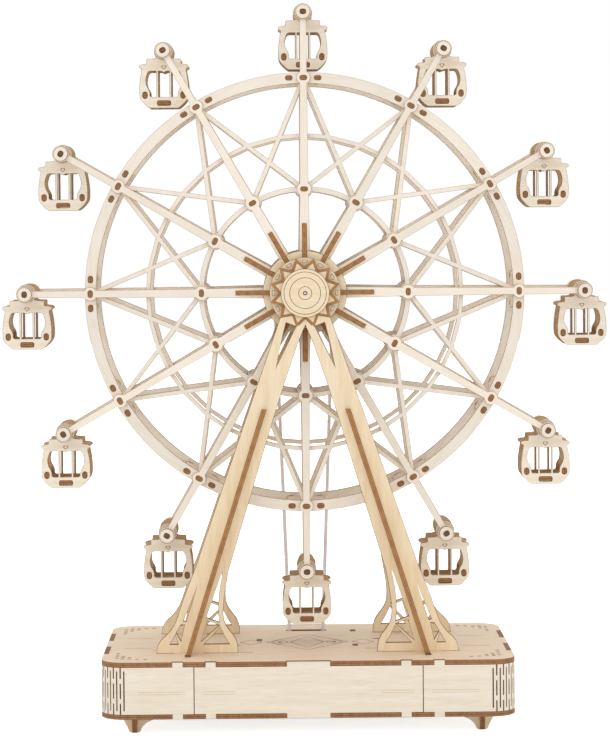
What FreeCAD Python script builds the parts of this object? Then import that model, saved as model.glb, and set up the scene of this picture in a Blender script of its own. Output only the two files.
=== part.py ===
import FreeCAD, Part
import math
import os

# Crank ferris wheel toy, laser cut from thin plywood and held together by tabs
# Right is +X, the rear with the crank is +Y, up is +Z, and the feet stand on Z = 0
# Every shape is first drawn with Y = 0 in the middle plane of the wheel

# Sheet and fits
board = 2.4
axle_r = 1.5
bearing_gap = 0.05
moving_gap = 0.5
slot_gap = 0.05
belt_gap = 0.3

# Base box
base_length = 203.5
base_depth = 120.0
base_corner_r = 12.0
corner_steps = 3
foot_height = 9.0
wall_height = 23.2
panel_half = 55.9
wall_joint_gap = 0.2
centre_tab_half = 10.7
panel_tab_x = 47.8
wrap_tab_x = 64.0
tab_width = 5.2
side_tab_y = 21.0
side_tab_length = 23.0
rib_x = 24.3
rib_tab_length = 6.0
left_rib_tabs = (7.3,)
right_rib_tabs = (-10.4, 37.0)

# Cross-lapped feet
foot_inset_x = 15.95
foot_inset_y = 16.0
foot_short = 6.2
foot_tail = 15.2
foot_tip_half = 2.8
foot_bevel = 0.85
foot_waist = 5.0
foot_waist_share = 0.62
foot_tail_share = 0.7
foot_tail_thick = 1.6

# Wheel
car_count = 12
car_deck_gap = 10.8
car_rim_gap = 1.8
rim_outer_r = 110.0
rim_width = 5.5
mid_ring_r = 78.5
mid_ring_width = 2.0
inner_ring_r = 51.7
inner_ring_width = 2.5
diagonal_width = 2.2
truss_gap = 35.6
rim_steps = 3
inner_ring_steps = 2

# Spokes
spoke_start_r = 12.4
spoke_hub_width = 5.8
spoke_mid_width = 4.2
spoke_rim_width = 3.5
spoke_end_width = 3.2
inner_boss_r = 3.6
rim_boss_r = 3.4
eye_r = 4.2
boss_slant = 0.85

# Hub
hub_disc_sides = 12
end_disc_sides = 20
bore_sides = 8
hub_disc_r = 20.9
end_disc_r = 17.6
fin_start_r = 16.0
fin_end_r = 34.5
fin_lip = 0.8
rim_spacer_length = 18.5
inner_spacer_length = 9.0

# Car pins
pin_tall = 3.1
pin_thick = 2.6

# Gondolas, measured from the pivot
bush_layers = 4
car_side_gap = 0.4
car_eye_r = 4.8
car_hole_flat_r = 2.15
car_hole_sides = 4
roof_half = 8.3
roof_top = 3.6
eave_half = 12.5
eave_top = 6.4
eave_tip = 8.1
body_top_half = 10.9
body_top = 9.0
body_half = 12.3
chamfer_top = 23.4
car_floor_half = 7.0
car_height = 28.2
window_top = 9.9
window_top_half = 7.6
window_bulge_half = 8.8
window_bulge = 14.0
window_low_half = 6.6
window_low = 19.4
window_bottom = 22.8
car_wall_x = 9.6
car_floor_z = 25.5
car_floor_width = 17.0
car_roof_z = 7.6
car_roof_width = 17.0

# A-frames
frame_gap = 60.8
leg_top_x = 2.5
leg_foot_x = 59.4
leg_width = 11.6
star_tip_r = 17.3
star_valley_r = 12.6
leg_start_drop = 12.0
leg_flare = 45.0
flare_parts = 45
cap_r = 12.0
cap_sides = 24
frame_bore_sides = 12
foot_tab_half = 7.7
leg_fin_top_drop = 57.6
leg_fin_reach = 12.0
leg_fin_top_reach = 2.0

# Belt drive
belt_y = 39.0
belt_width = 1.9
belt_top_r = 15.4
belt_low_r = 8.2
pulley_lip = 2.2
pulley_sides = 16
pulley_flange = 1.6
belt_steps = 8
belt_slot_half = 10.6
belt_slot_width = 5.0

# Crank
shaft_r = 2.0
bearing_plate_y = 27.0
crank_arm_length = 15.0
crank_arm_half = 4.0
crank_arm_gap = 1.0
knob_r = 4.0
knob_neck_r = 2.6
knob_length = 12.6
knob_sides = 12

# Sizes that follow from the ones above
base_top = foot_height + board + wall_height + board
wall_low = foot_height + board
wall_top = wall_low + wall_height
step_angle = 360.0 / car_count
rim_inner_r = rim_outer_r - rim_width
rim_node_r = rim_outer_r - rim_width / 2
pivot_r = rim_outer_r + car_rim_gap + car_height
wheel_z = base_top + car_deck_gap + car_height + pivot_r
truss_y = truss_gap / 2
spoke_y = truss_y + board
hub_disc_y = spoke_y + board
frame_y = frame_gap / 2
end_disc_y = frame_y - moving_gap - board
pin_half = hub_disc_y + board
car_face_y = spoke_y - bush_layers * board - car_side_gap
car_inner_y = car_face_y - board
deck_drop = wheel_z - base_top
leg_slope = (leg_foot_x - leg_top_x) / deck_drop
leg_half = leg_width / 2 * math.sqrt(1 + leg_slope ** 2)
shaft_z = wall_low + wall_height / 2
pulley_half = pulley_flange + belt_width / 2 + belt_gap
rear_face = base_depth / 2
crank_arm_y = rear_face + crank_arm_gap
knob_y = crank_arm_y + board
crank_reach = knob_y + knob_length - rear_face
foot_x = base_length / 2 - foot_inset_x
foot_y = rear_face - foot_inset_y
origin_shift = FreeCAD.Vector(0, -crank_reach / 2, 0)
hub = FreeCAD.Vector(0, 0, wheel_z)
along_y = FreeCAD.Vector(0, 1, 0)


def xz(x, z):
    return FreeCAD.Vector(x, 0, z)


def polar(radius, degrees):
    # Angles are counted from straight up towards +X
    turn = math.radians(degrees)
    return xz(radius * math.sin(turn), radius * math.cos(turn))


def polygon(points):
    return Part.Face(Part.makePolygon(points + [points[0]]))


def mirrored(points):
    # The given right-hand points from top to bottom, then their mirror images back up
    left = [xz(-point.x, point.z) for point in reversed(points) if abs(point.x) > 1e-6]
    return points + left


def rectangle(x_low, x_high, z_low, z_high):
    return polygon([xz(x_low, z_low), xz(x_high, z_low), xz(x_high, z_high), xz(x_low, z_high)])


def flat_disc(radius, sides, centre=None):
    # A round in flat steps, with its corners on the radius
    spot = centre if centre else xz(0, 0)
    return polygon([spot + polar(radius, 360 * (index + 0.5) / sides) for index in range(sides)])


def flat_bore(radius, sides, centre=None):
    # A hole in flat steps, with its flats on the radius
    return flat_disc(radius / math.cos(math.pi / sides), sides, centre)


def arc_band(outer, inner, angles):
    points = [polar(outer, angle) for angle in angles]
    return polygon(points + [polar(inner, angle) for angle in reversed(angles)])


def strip(start, end, start_width, end_width):
    run = (end - start).normalize()
    side = xz(-run.z, run.x)
    return polygon([
        start + side * (start_width / 2),
        end + side * (end_width / 2),
        end - side * (end_width / 2),
        start - side * (start_width / 2),
    ])


def sheet(face, y_low, thickness=board):
    solid = face.extrude(along_y * thickness)
    solid.translate(along_y * y_low)
    return solid


def joined_sheet(faces, y_low):
    # One plate out of overlapping outlines
    solids = [sheet(face, y_low) for face in faces]
    return solids[0].fuse(solids[1:]).removeSplitter()


def block(x_low, x_high, y_low, y_high, z_low, z_high):
    size = (x_high - x_low, y_high - y_low, z_high - z_low)
    return Part.makeBox(*size, FreeCAD.Vector(x_low, y_low, z_low))


def rod(radius, y_low, y_high, x=0.0, z=0.0):
    return Part.makeCylinder(radius, y_high - y_low, FreeCAD.Vector(x, y_low, z), along_y)


def turned(shape, degrees):
    copy = shape.copy()
    copy.rotate(xz(0, 0), along_y, degrees)
    return copy


def placed(shape, offset):
    copy = shape.copy()
    copy.translate(offset)
    return copy


def around(shape):
    return [turned(shape, index * step_angle) for index in range(car_count)]


def flipped(shape):
    # The rear copy of a piece is its mirror image in the middle plane
    return shape.mirror(xz(0, 0), along_y)


def save(name, solids, offset=None):
    group = Part.Compound([solid for shape in solids for solid in shape.Solids])
    if offset:
        group.translate(offset)
    group.translate(origin_shift)
    group.exportStep("parts/" + name + ".step")


# Base box

def rounded_outline(inset):
    # Plan of the base in the XY plane, with each corner arc in flat steps
    half_x = base_length / 2 - inset
    half_y = base_depth / 2 - inset
    radius = base_corner_r - inset
    points = []
    for quarter in range(4):
        sign_x = 1 if quarter in (0, 3) else -1
        sign_y = 1 if quarter in (0, 1) else -1
        centre = FreeCAD.Vector(sign_x * (half_x - radius), sign_y * (half_y - radius), 0)
        for step in range(corner_steps + 1):
            turn = math.radians(90 * quarter + 90 * step / corner_steps)
            points.append(centre + FreeCAD.Vector(math.cos(turn), math.sin(turn), 0) * radius)
    return polygon(points)


def tab_blocks(z_low, z_high, grow):
    # Every wall tab as a block, grown sideways for the notch that it fits
    reach_x = base_length / 2
    reach_y = base_depth / 2
    centres = [(0, centre_tab_half)]
    for side in (-1, 1):
        centres += [(side * panel_tab_x, tab_width / 2), (side * wrap_tab_x, tab_width / 2)]
    blocks = []
    for centre, half in centres:
        for side in (-1, 1):
            y_edges = sorted([side * reach_y, side * (reach_y - board)])
            blocks.append(block(centre - half - grow, centre + half + grow, *y_edges, z_low, z_high))
    for side_x in (-1, 1):
        for side_y in (-1, 1):
            x_edges = sorted([side_x * reach_x, side_x * (reach_x - board)])
            y_mid = side_y * side_tab_y
            y_edges = (y_mid - side_tab_length / 2 - grow, y_mid + side_tab_length / 2 + grow)
            blocks.append(block(*x_edges, *y_edges, z_low, z_high))
    return blocks


def base_plate(z_low):
    plate = rounded_outline(0).extrude(FreeCAD.Vector(0, 0, board))
    plate.translate(FreeCAD.Vector(0, 0, z_low))
    return plate.cut(tab_blocks(z_low, z_low + board, slot_gap))


def wall_ring():
    walls = rounded_outline(0).cut(rounded_outline(board)).extrude(FreeCAD.Vector(0, 0, wall_height))
    walls.translate(FreeCAD.Vector(0, 0, wall_low))
    tabs = tab_blocks(foot_height, wall_low, 0) + tab_blocks(wall_top, base_top, 0)
    return walls.fuse(tabs).removeSplitter()


def rib_tab(x_mid, y_mid, grow):
    half_x = board / 2 + grow
    half_y = rib_tab_length / 2 + grow
    return block(x_mid - half_x, x_mid + half_x, y_mid - half_y, y_mid + half_y, wall_top, base_top)


def base_pieces():
    deck = base_plate(wall_top)
    slots = []
    for side_x in (-1, 1):
        x_mid = side_x * leg_foot_x
        x_edges = (x_mid - foot_tab_half - slot_gap, x_mid + foot_tab_half + slot_gap)
        for side_y in (-1, 1):
            y_edges = sorted([side_y * frame_y, side_y * (frame_y + board)])
            slots.append(block(*x_edges, y_edges[0] - slot_gap, y_edges[1] + slot_gap, wall_top, base_top))
    belt_edges = (belt_y - belt_slot_width / 2, belt_y + belt_slot_width / 2)
    slots.append(block(-belt_slot_half, belt_slot_half, *belt_edges, wall_top, base_top))
    slots += [rib_tab(-rib_x, y_mid, slot_gap) for y_mid in left_rib_tabs]
    slots += [rib_tab(rib_x, y_mid, slot_gap) for y_mid in right_rib_tabs]
    save("deck_plate", [deck.cut(slots)])
    save("bottom_plate", [base_plate(foot_height)])
    walls = wall_ring()
    far = base_length
    panel_zone = block(-panel_half, panel_half, -far, 0, 0, far)
    save("front_panel", [walls.common(panel_zone)])
    rear_panel = walls.common(block(-panel_half, panel_half, 0, far, 0, far))
    bore = sheet(flat_bore(shaft_r + bearing_gap, bore_sides, xz(0, shaft_z)), 0, far)
    save("rear_panel", [rear_panel.cut(bore)])
    wrap_start = panel_half + wall_joint_gap
    save("left_wrap", [walls.common(block(-far, -wrap_start, -far, far, 0, far))])
    save("right_wrap", [walls.common(block(wrap_start, far, -far, far, 0, far))])
    y_reach = rear_face - board
    for name, x_mid, tabs in (("left_rib", -rib_x, left_rib_tabs), ("right_rib", rib_x, right_rib_tabs)):
        rib = block(x_mid - board / 2, x_mid + board / 2, -y_reach, y_reach, wall_low, wall_top)
        rib = rib.fuse([rib_tab(x_mid, y_mid, 0) for y_mid in tabs]).removeSplitter()
        save(name, [rib])


def foot_profile(side):
    # A waisted foot with a short heel outwards and a long tail towards the middle of the base
    points = [
        xz(-foot_short, foot_height),
        xz(-foot_short * foot_waist_share, foot_waist),
        xz(-foot_tip_half, foot_bevel),
        xz(-foot_tip_half + foot_bevel, 0),
        xz(foot_tip_half - foot_bevel, 0),
        xz(foot_tip_half, foot_bevel),
        xz(foot_short * foot_waist_share, foot_waist),
        xz(foot_tail * foot_tail_share, foot_height - foot_tail_thick),
        xz(foot_tail, foot_height),
    ]
    outline = polygon([xz(-side * point.x, point.z) for point in points])
    return sheet(outline, -board / 2)


def feet():
    for y_name, side_y in (("front", -1), ("rear", 1)):
        for x_name, side_x in (("left", -1), ("right", 1)):
            spot = FreeCAD.Vector(side_x * foot_x, side_y * foot_y, 0)
            lower = block(-board / 2, board / 2, -board / 2, board / 2, 0, foot_height / 2)
            upper = placed(lower, FreeCAD.Vector(0, 0, foot_height / 2))
            wide = foot_profile(side_x).cut(upper)
            deep = foot_profile(side_y)
            deep.rotate(xz(0, 0), FreeCAD.Vector(0, 0, 1), 90)
            save("foot_wide_" + y_name + "_" + x_name, [wide], spot)
            save("foot_deep_" + y_name + "_" + x_name, [deep.cut(lower)], spot)


# A-frames

def star_face():
    points = []
    for index in range(car_count):
        points.append(polar(star_valley_r, index * step_angle))
        points.append(polar(star_tip_r, (index + 0.5) * step_angle))
    return polygon(points)


def leg_x(drop):
    return leg_top_x + leg_slope * drop


def leg_point(drop, share):
    # A point below the hub, by its share of the leg's half width beside the leg's centre line
    return xz(leg_x(drop) + share * leg_half, -drop)


def foot_point(x, z):
    # A point of the leg's foot, from the leg's centre on the deck, in parts of the flare's height
    unit = leg_flare / flare_parts
    return xz(leg_foot_x + x * unit, z * unit - deck_drop)


def leg_face():
    # The right leg, drawn from the hub down, with its flared foot
    start = leg_start_drop
    split = deck_drop - leg_flare
    return polygon([
        leg_point(start, 1),
        foot_point(1.6, 27.1),
        foot_point(5.4, 17.0),
        foot_point(10.8, 9.7),
        foot_point(14.9, 5.4),
        foot_point(16.0, 0),
        foot_point(-24.8, 0),
        foot_point(-23.9, 5.6),
        foot_point(-18.6, 14.0),
        foot_point(-17.5, 21.0),
        foot_point(-20.2, 45.0),
        leg_point(split, -1),
        xz(max(leg_x(start) - leg_half, 0.05), -start),
    ])


def leg_openings():
    # The fork under the hub, then the lattice on each side of the leg's foot
    fork = [leg_point(14.6, 0.45), leg_point(17.0, -0.53), leg_point(37.6, -0.09), leg_point(24.6, 0.23)]
    tall = [foot_point(-17.2, 40.5), foot_point(-15.0, 26.0), foot_point(-15.3, 15.4), foot_point(-9.0, 17.7)]
    inner_mid = [foot_point(-9.3, 16.0), foot_point(-15.4, 13.8), foot_point(-6.3, 5.8)]
    inner_low = [foot_point(-8.0, 4.6), foot_point(-20.4, 4.6), foot_point(-15.8, 12.9)]
    slim = [foot_point(-5.0, 34.0), foot_point(-1.2, 24.5), foot_point(2.3, 16.2), foot_point(1.1, 15.8)]
    outer_mid = [foot_point(1.9, 14.2), foot_point(3.7, 14.2), foot_point(6.0, 10.4), foot_point(3.7, 6.2)]
    outer_low = [foot_point(6.5, 9.3), foot_point(9.1, 4.6), foot_point(5.0, 4.6)]
    return [polygon(points) for points in (fork, tall, inner_mid, inner_low, slim, outer_mid, outer_low)]


def frame_plate():
    y_low = -frame_y - board
    tab_low = -deck_drop - board
    tab = rectangle(leg_foot_x - foot_tab_half, leg_foot_x + foot_tab_half, tab_low, -deck_drop)
    leg = joined_sheet([leg_face(), tab], y_low)
    leg = leg.cut([sheet(opening, y_low) for opening in leg_openings()])
    other_leg = leg.mirror(xz(0, 0), FreeCAD.Vector(1, 0, 0))
    plate = sheet(star_face(), y_low).fuse([leg, other_leg]).removeSplitter()
    return plate.cut(sheet(flat_bore(axle_r + bearing_gap, frame_bore_sides), y_low))


def leg_fin(side):
    # A long tapered gusset that stands on the leg's centre line and on the deck
    top_drop = leg_fin_top_drop
    top_x = leg_x(top_drop)
    low_x = leg_foot_x
    face_y = -frame_y - board
    half = board / 2 * math.sqrt(1 + leg_slope ** 2)
    corners = [
        FreeCAD.Vector(side * top_x - half, face_y, -top_drop),
        FreeCAD.Vector(side * top_x - half, face_y - leg_fin_top_reach, -top_drop),
        FreeCAD.Vector(side * low_x - half, face_y - leg_fin_reach, -deck_drop),
        FreeCAD.Vector(side * low_x - half, face_y, -deck_drop),
    ]
    triangles = [corners[:3], [corners[0], corners[2], corners[3]]]
    faces = [Part.Face(Part.makePolygon(corner + [corner[0]])) for corner in triangles]
    slabs = [face.extrude(FreeCAD.Vector(2 * half, 0, 0)) for face in faces]
    return slabs[0].fuse(slabs[1]).removeSplitter()


def frames():
    front = frame_plate()
    save("frame_front", [front], hub)
    save("frame_rear", [flipped(front)], hub)
    for name, side in (("left", -1), ("right", 1)):
        fin = leg_fin(side)
        save("leg_fin_front_" + name, [fin], hub)
        save("leg_fin_rear_" + name, [flipped(fin)], hub)
    save("front_cap", [sheet(flat_disc(cap_r, cap_sides), -frame_y - 2 * board)], hub)


# Wheel

def diagonal_angle(radius):
    # Where a diagonal's centre line passes a radius, in degrees from its rim node
    start = polar(rim_node_r, 0)
    run = polar(inner_ring_r, step_angle) - start
    square = run.dot(run)
    half = start.dot(run)
    share = (-half - math.sqrt(half ** 2 - square * (start.dot(start) - radius ** 2))) / square
    point = start + run * share
    return math.degrees(math.atan2(point.x, point.z))


def truss_sector():
    # One twelfth of the wheel's side: a rim arc, two crossing diagonals and two slim ring arcs
    mid_half = mid_ring_width / 2
    inner_half = inner_ring_width / 2
    bend = diagonal_angle(mid_ring_r)
    far = 2 * rim_outer_r
    wedge = polygon([xz(0, 0), polar(far, 0), polar(far, step_angle)])
    diagonals = [
        strip(polar(rim_node_r, 0), polar(inner_ring_r, step_angle), diagonal_width, diagonal_width),
        strip(polar(rim_node_r, step_angle), polar(inner_ring_r, 0), diagonal_width, diagonal_width),
    ]
    rim_angles = [step_angle * index / rim_steps for index in range(rim_steps + 1)]
    inner_angles = [step_angle * index / inner_ring_steps for index in range(inner_ring_steps + 1)]
    mid_angles = [0, bend, step_angle - bend, step_angle]
    return joined_sheet([
        arc_band(rim_outer_r, rim_inner_r, rim_angles),
        arc_band(mid_ring_r + mid_half, mid_ring_r - mid_half, mid_angles),
        arc_band(inner_ring_r + inner_half, inner_ring_r - inner_half, inner_angles),
    ] + [diagonal.common(wedge) for diagonal in diagonals], -truss_y - board)


def boss_points(radius, boss_r, low_half, high_half):
    # The right side of a boss between two stretches of a bar, with one blunt corner
    slant = boss_slant * boss_r
    low = xz(low_half, radius - slant)
    high = xz(high_half, radius + slant)
    return [low, xz(boss_r, radius), high]


def spoke():
    rim_half = spoke_rim_width / 2
    end_half = spoke_end_width / 2
    eye_flat = eye_r * math.tan(math.pi / 6)
    right = [xz(eye_flat, pivot_r + eye_r), xz(eye_flat * 2, pivot_r), xz(end_half, pivot_r - eye_r)]
    right += reversed(boss_points(rim_node_r, rim_boss_r, rim_half, end_half))
    right += reversed(boss_points(inner_ring_r, inner_boss_r, spoke_mid_width / 2, spoke_mid_width / 2))
    right.append(xz(spoke_hub_width / 2, spoke_start_r))
    arm = sheet(polygon(mirrored(right)), -spoke_y - board)
    half = board / 2 + slot_gap
    fin_slot = rectangle(-half, half, fin_start_r - slot_gap, fin_end_r + slot_gap)
    return arm.cut([sheet(fin_slot, -spoke_y - board), sheet(pin_face(0), -spoke_y - board)])


def pin_face(angle):
    face = rectangle(-pin_tall / 2, pin_tall / 2, pivot_r - pin_thick / 2, pivot_r + pin_thick / 2)
    return turned(face, angle)


def hub_disc():
    face = flat_disc(hub_disc_r, hub_disc_sides).cut(flat_bore(axle_r, bore_sides))
    half = board / 2 + slot_gap
    slot = rectangle(-half, half, fin_start_r - slot_gap, hub_disc_r + 1)
    return sheet(face.cut(around(slot)), -hub_disc_y - board)


def hub_fin():
    # A gusset across the whole wheel that keys both hub discs and a pair of spokes together
    profile = [
        (fin_start_r, end_disc_y),
        (end_disc_r, end_disc_y),
        (fin_end_r, hub_disc_y + fin_lip),
    ]
    front = [FreeCAD.Vector(-board / 2, -y, r) for r, y in profile]
    back = [FreeCAD.Vector(-board / 2, y, r) for r, y in reversed(profile)]
    corners = front + back
    return Part.Face(Part.makePolygon(corners + [corners[0]])).extrude(FreeCAD.Vector(board, 0, 0))


def spacer(length, radius):
    z_edges = (radius - board / 2, radius + board / 2)
    return block(-length / 2, length / 2, -truss_y, truss_y, *z_edges)


def pulley(belt_line_r, bore_r):
    # Two flanges and a smaller core between them, with the belt's bed just under the belt
    core_r = belt_line_r - belt_width / 2 - belt_gap
    flange_r = belt_line_r + pulley_lip - belt_width / 2
    flange = flat_disc(flange_r, pulley_sides)
    core = flat_disc(core_r, pulley_sides)
    inner = pulley_half - pulley_flange
    stack = sheet(core, belt_y - inner, 2 * inner)
    stack = stack.fuse([
        sheet(flange, belt_y - pulley_half, pulley_flange),
        sheet(flange, belt_y + inner, pulley_flange),
    ]).removeSplitter()
    bore = flat_bore(bore_r, bore_sides)
    return stack.cut(sheet(bore, belt_y - pulley_half, 2 * pulley_half))


def wheel():
    sector = truss_sector()
    arm = spoke()
    plate = hub_disc()
    end = sheet(flat_disc(end_disc_r, end_disc_sides).cut(flat_bore(axle_r, bore_sides)), -end_disc_y - board)
    save("truss_front", around(sector), hub)
    save("truss_rear", around(flipped(sector)), hub)
    save("spokes_front", around(arm), hub)
    save("spokes_rear", around(flipped(arm)), hub)
    save("hub_disc_front", [plate], hub)
    save("hub_disc_rear", [flipped(plate)], hub)
    save("end_disc_front", [end], hub)
    save("end_disc_rear", [flipped(end)], hub)
    save("hub_fins", around(hub_fin()), hub)
    save("rim_spacers", around(spacer(rim_spacer_length, rim_node_r)), hub)
    save("inner_spacers", around(spacer(inner_spacer_length, inner_ring_r)), hub)
    pin = sheet(pin_face(0), -pin_half, 2 * pin_half)
    save("car_pins", around(pin), hub)
    axle_end = belt_y + pulley_half
    save("axle", [rod(axle_r, -frame_y - board, axle_end)], hub)
    save("wheel_pulley", [pulley(belt_top_r, axle_r)], hub)


# Gondolas

def car_plate_face():
    right = [
        xz(car_eye_r / 2, car_eye_r),
        xz(car_eye_r, 0),
        xz(roof_half, -roof_top),
        xz(eave_half, -eave_top),
        xz(eave_half, -eave_tip),
        xz(body_top_half, -body_top),
        xz(body_half, -chamfer_top),
        xz(car_floor_half, -car_height),
    ]
    window = [
        xz(window_top_half, -window_top),
        xz(window_bulge_half, -window_bulge),
        xz(window_low_half, -window_bottom),
    ]
    pin_hole = flat_bore(car_hole_flat_r, car_hole_sides)
    return polygon(mirrored(right)).cut([polygon(mirrored(window)), pin_hole])


def car_solids():
    face = car_plate_face()
    front = sheet(face, -car_face_y)
    half_y = car_inner_y
    solids = [front, flipped(front)]
    floor_half = car_floor_width / 2
    floor_edges = (-car_floor_z - board / 2, -car_floor_z + board / 2)
    solids.append(block(-floor_half, floor_half, -half_y, half_y, *floor_edges))
    for side in (-1, 1):
        x_mid = side * car_wall_x
        solids.append(block(x_mid - board / 2, x_mid + board / 2, -half_y, half_y, -chamfer_top, -window_low))
    roof_half_width = car_roof_width / 2
    roof_edges = (-car_roof_z - board / 2, -car_roof_z + board / 2)
    solids.append(block(-roof_half_width, roof_half_width, -half_y, half_y, *roof_edges))
    return solids


def gondolas():
    solids = car_solids()
    for index in range(car_count):
        spot = hub + polar(pivot_r, index * step_angle)
        save("gondola_%02d" % (index + 1), solids, spot)


# Belt drive and crank

def belt():
    # One closed loop: an arc on each pulley and two straight runs tangent to both
    drop = wheel_z - shaft_z
    lean = math.degrees(math.asin((belt_top_r - belt_low_r) / drop))

    def loop(offset):
        top_span = 180 + 2 * lean
        low_span = 180 - 2 * lean
        points = []
        for step in range(belt_steps + 1):
            points.append(polar(belt_top_r + offset, -top_span / 2 + top_span * step / belt_steps))
        for step in range(belt_steps + 1):
            turn = 180 - low_span / 2 + low_span * step / belt_steps
            points.append(xz(0, -drop) + polar(belt_low_r + offset, turn))
        return polygon(points)

    face = loop(belt_width / 2).cut(loop(-belt_width / 2))
    return sheet(face, belt_y - belt_width / 2, belt_width)


def faceted(profile, sides):
    # A turned shape in flat steps, from pairs of radius and reach behind the crank arm
    rings = []
    for radius, reach in profile:
        corners = [polar(radius, 360 * (index + 0.5) / sides) for index in range(sides)]
        rings.append([corner + along_y * (knob_y + reach) for corner in corners])
    faces = [polygon(rings[0]), polygon(rings[-1])]
    for low, high in zip(rings, rings[1:]):
        for index in range(sides):
            follower = (index + 1) % sides
            faces.append(polygon([low[index], low[follower], high[follower], high[index]]))
    return Part.makeSolid(Part.makeShell(faces))


def drive():
    low = FreeCAD.Vector(0, 0, shaft_z)
    save("belt", [belt()], hub)
    save("crank_shaft", [rod(shaft_r, bearing_plate_y, knob_y)], low)
    save("drive_pulley", [pulley(belt_low_r, shaft_r)], low)
    end = xz(0, -crank_arm_length)
    arm = joined_sheet([
        rectangle(-crank_arm_half, crank_arm_half, -crank_arm_length, 0),
        flat_disc(crank_arm_half, knob_sides),
        flat_disc(crank_arm_half, knob_sides, end),
    ], crank_arm_y)
    arm = arm.cut(sheet(flat_bore(shaft_r, bore_sides), crank_arm_y))
    save("crank_arm", [arm], low)
    waist = [(knob_neck_r, 0), (knob_r, knob_length * 0.55), (knob_neck_r, knob_length)]
    save("crank_knob", [faceted(waist, knob_sides)], low + end)
    half_width = rib_x - board / 2
    plate = rectangle(-half_width, half_width, wall_low, wall_top)
    bore = flat_bore(shaft_r + bearing_gap, bore_sides, xz(0, shaft_z))
    save("bearing_plate", [sheet(plate.cut(bore), bearing_plate_y)])


os.makedirs("parts", exist_ok=True)
base_pieces()
feet()
frames()
wheel()
gondolas()
drive()
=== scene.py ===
import math
import bpy
import bmesh
from mathutils import Matrix, Vector
from mathutils.geometry import delaunay_2d_cdt


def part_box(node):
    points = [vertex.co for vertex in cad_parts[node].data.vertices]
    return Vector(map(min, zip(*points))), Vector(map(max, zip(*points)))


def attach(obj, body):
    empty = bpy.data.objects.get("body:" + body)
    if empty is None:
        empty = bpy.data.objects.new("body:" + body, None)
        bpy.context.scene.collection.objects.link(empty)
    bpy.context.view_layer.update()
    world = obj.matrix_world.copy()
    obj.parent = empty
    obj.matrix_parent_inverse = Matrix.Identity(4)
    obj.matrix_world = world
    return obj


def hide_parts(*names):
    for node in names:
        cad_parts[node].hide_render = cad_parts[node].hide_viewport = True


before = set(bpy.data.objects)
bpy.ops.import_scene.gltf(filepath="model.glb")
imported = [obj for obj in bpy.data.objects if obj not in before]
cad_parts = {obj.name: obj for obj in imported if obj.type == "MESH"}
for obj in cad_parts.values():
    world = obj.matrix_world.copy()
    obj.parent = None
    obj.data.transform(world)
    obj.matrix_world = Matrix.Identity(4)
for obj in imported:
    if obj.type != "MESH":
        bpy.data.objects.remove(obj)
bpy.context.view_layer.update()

# Lengths are millimetres here, with y counted from the wheel's middle plane
# makeMesh() turns them into metres in the frame

carCount = 12
stepAngle = 360 / carCount
carDrop = 28.2                                  # from a car's pivot down to its lower edge


def nodeBox(node):
    low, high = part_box(node)
    return [value * 1000 for value in low], [value * 1000 for value in high]


def middleOf(node, axis):
    low, high = nodeBox(node)
    return (low[axis] + high[axis]) / 2


# The wheel's middle plane in the frame
midY = (nodeBox("front_panel")[0][1] + nodeBox("rear_panel")[1][1]) / 2


def nodeY(node):
    low, high = nodeBox(node)
    return low[1] - midY, high[1] - midY


deckLow, deckHigh = nodeBox("deck_plate")
halfX = deckHigh[0]
halfY = (deckHigh[1] - deckLow[1]) / 2
wallTop, deckTop = deckLow[2], deckHigh[2]
bottomZ, wallLow = [corner[2] for corner in nodeBox("bottom_plate")]
board = deckTop - wallTop
hubZ = middleOf("axle", 2)
shaftZ = middleOf("crank_shaft", 2)
beltY = middleOf("belt", 1) - midY
deckDrop = hubZ - deckTop
pivotR = nodeBox("gondola_01")[0][2] + carDrop - hubZ
trussFace = -nodeY("truss_front")[0]            # distances of the outer faces from the middle plane
spokeFace = -nodeY("spokes_front")[0]
hubDiscFace = -nodeY("hub_disc_front")[0]
endDiscFace = -nodeY("end_disc_front")[0]
frameFace = -nodeY("frame_front")[0]
carFace = nodeY("gondola_01")[1]
past = 1.0                                      # how far a cut reaches past an edge, or a tab into its wall


# Outlines, as lists of flat points

def polar(radius, degrees, centre=(0, 0)):
    turn = math.radians(degrees)                # counted from straight up towards +X
    return (centre[0] + radius * math.sin(turn), centre[1] + radius * math.cos(turn))


def arc(radius, start, end, steps, centre=(0, 0)):
    return [polar(radius, start + (end - start) * i / steps, centre) for i in range(steps + 1)]


def circle(radius, sides=40, centre=(0, 0)):
    return [polar(radius, 360 * (i + 0.5) / sides, centre) for i in range(sides)]


def band(outer, inner, start, end, steps):
    return arc(outer, start, end, steps) + arc(inner, end, start, steps)


def rect(left, right, low, high):
    return [(left, low), (right, low), (right, high), (left, high)]


def bar(start, end, startWidth, endWidth=None):
    endWidth = startWidth if endWidth is None else endWidth
    run = (Vector(end) - Vector(start)).normalized()
    side = Vector((-run.y, run.x))
    return [tuple(Vector(start) + side * startWidth / 2), tuple(Vector(end) + side * endWidth / 2),
            tuple(Vector(end) - side * endWidth / 2), tuple(Vector(start) - side * startWidth / 2)]


def roundedRect(centre, wide, tall, radius, steps=4):
    points = []
    for quarter in range(4):
        signX = 1 if quarter in (0, 1) else -1
        signY = 1 if quarter in (0, 3) else -1
        corner = (centre[0] + signX * (wide / 2 - radius), centre[1] + signY * (tall / 2 - radius))
        points += arc(radius, 90 * quarter, 90 * quarter + 90, steps, corner)
    return points


def turned(loop, degrees):
    turn = math.radians(degrees)
    cos, sin = math.cos(turn), math.sin(turn)
    return [(x * cos + y * sin, -x * sin + y * cos) for x, y in loop]


def mirrored(loop):
    return [(-x, y) for x, y in reversed(loop)]


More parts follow.
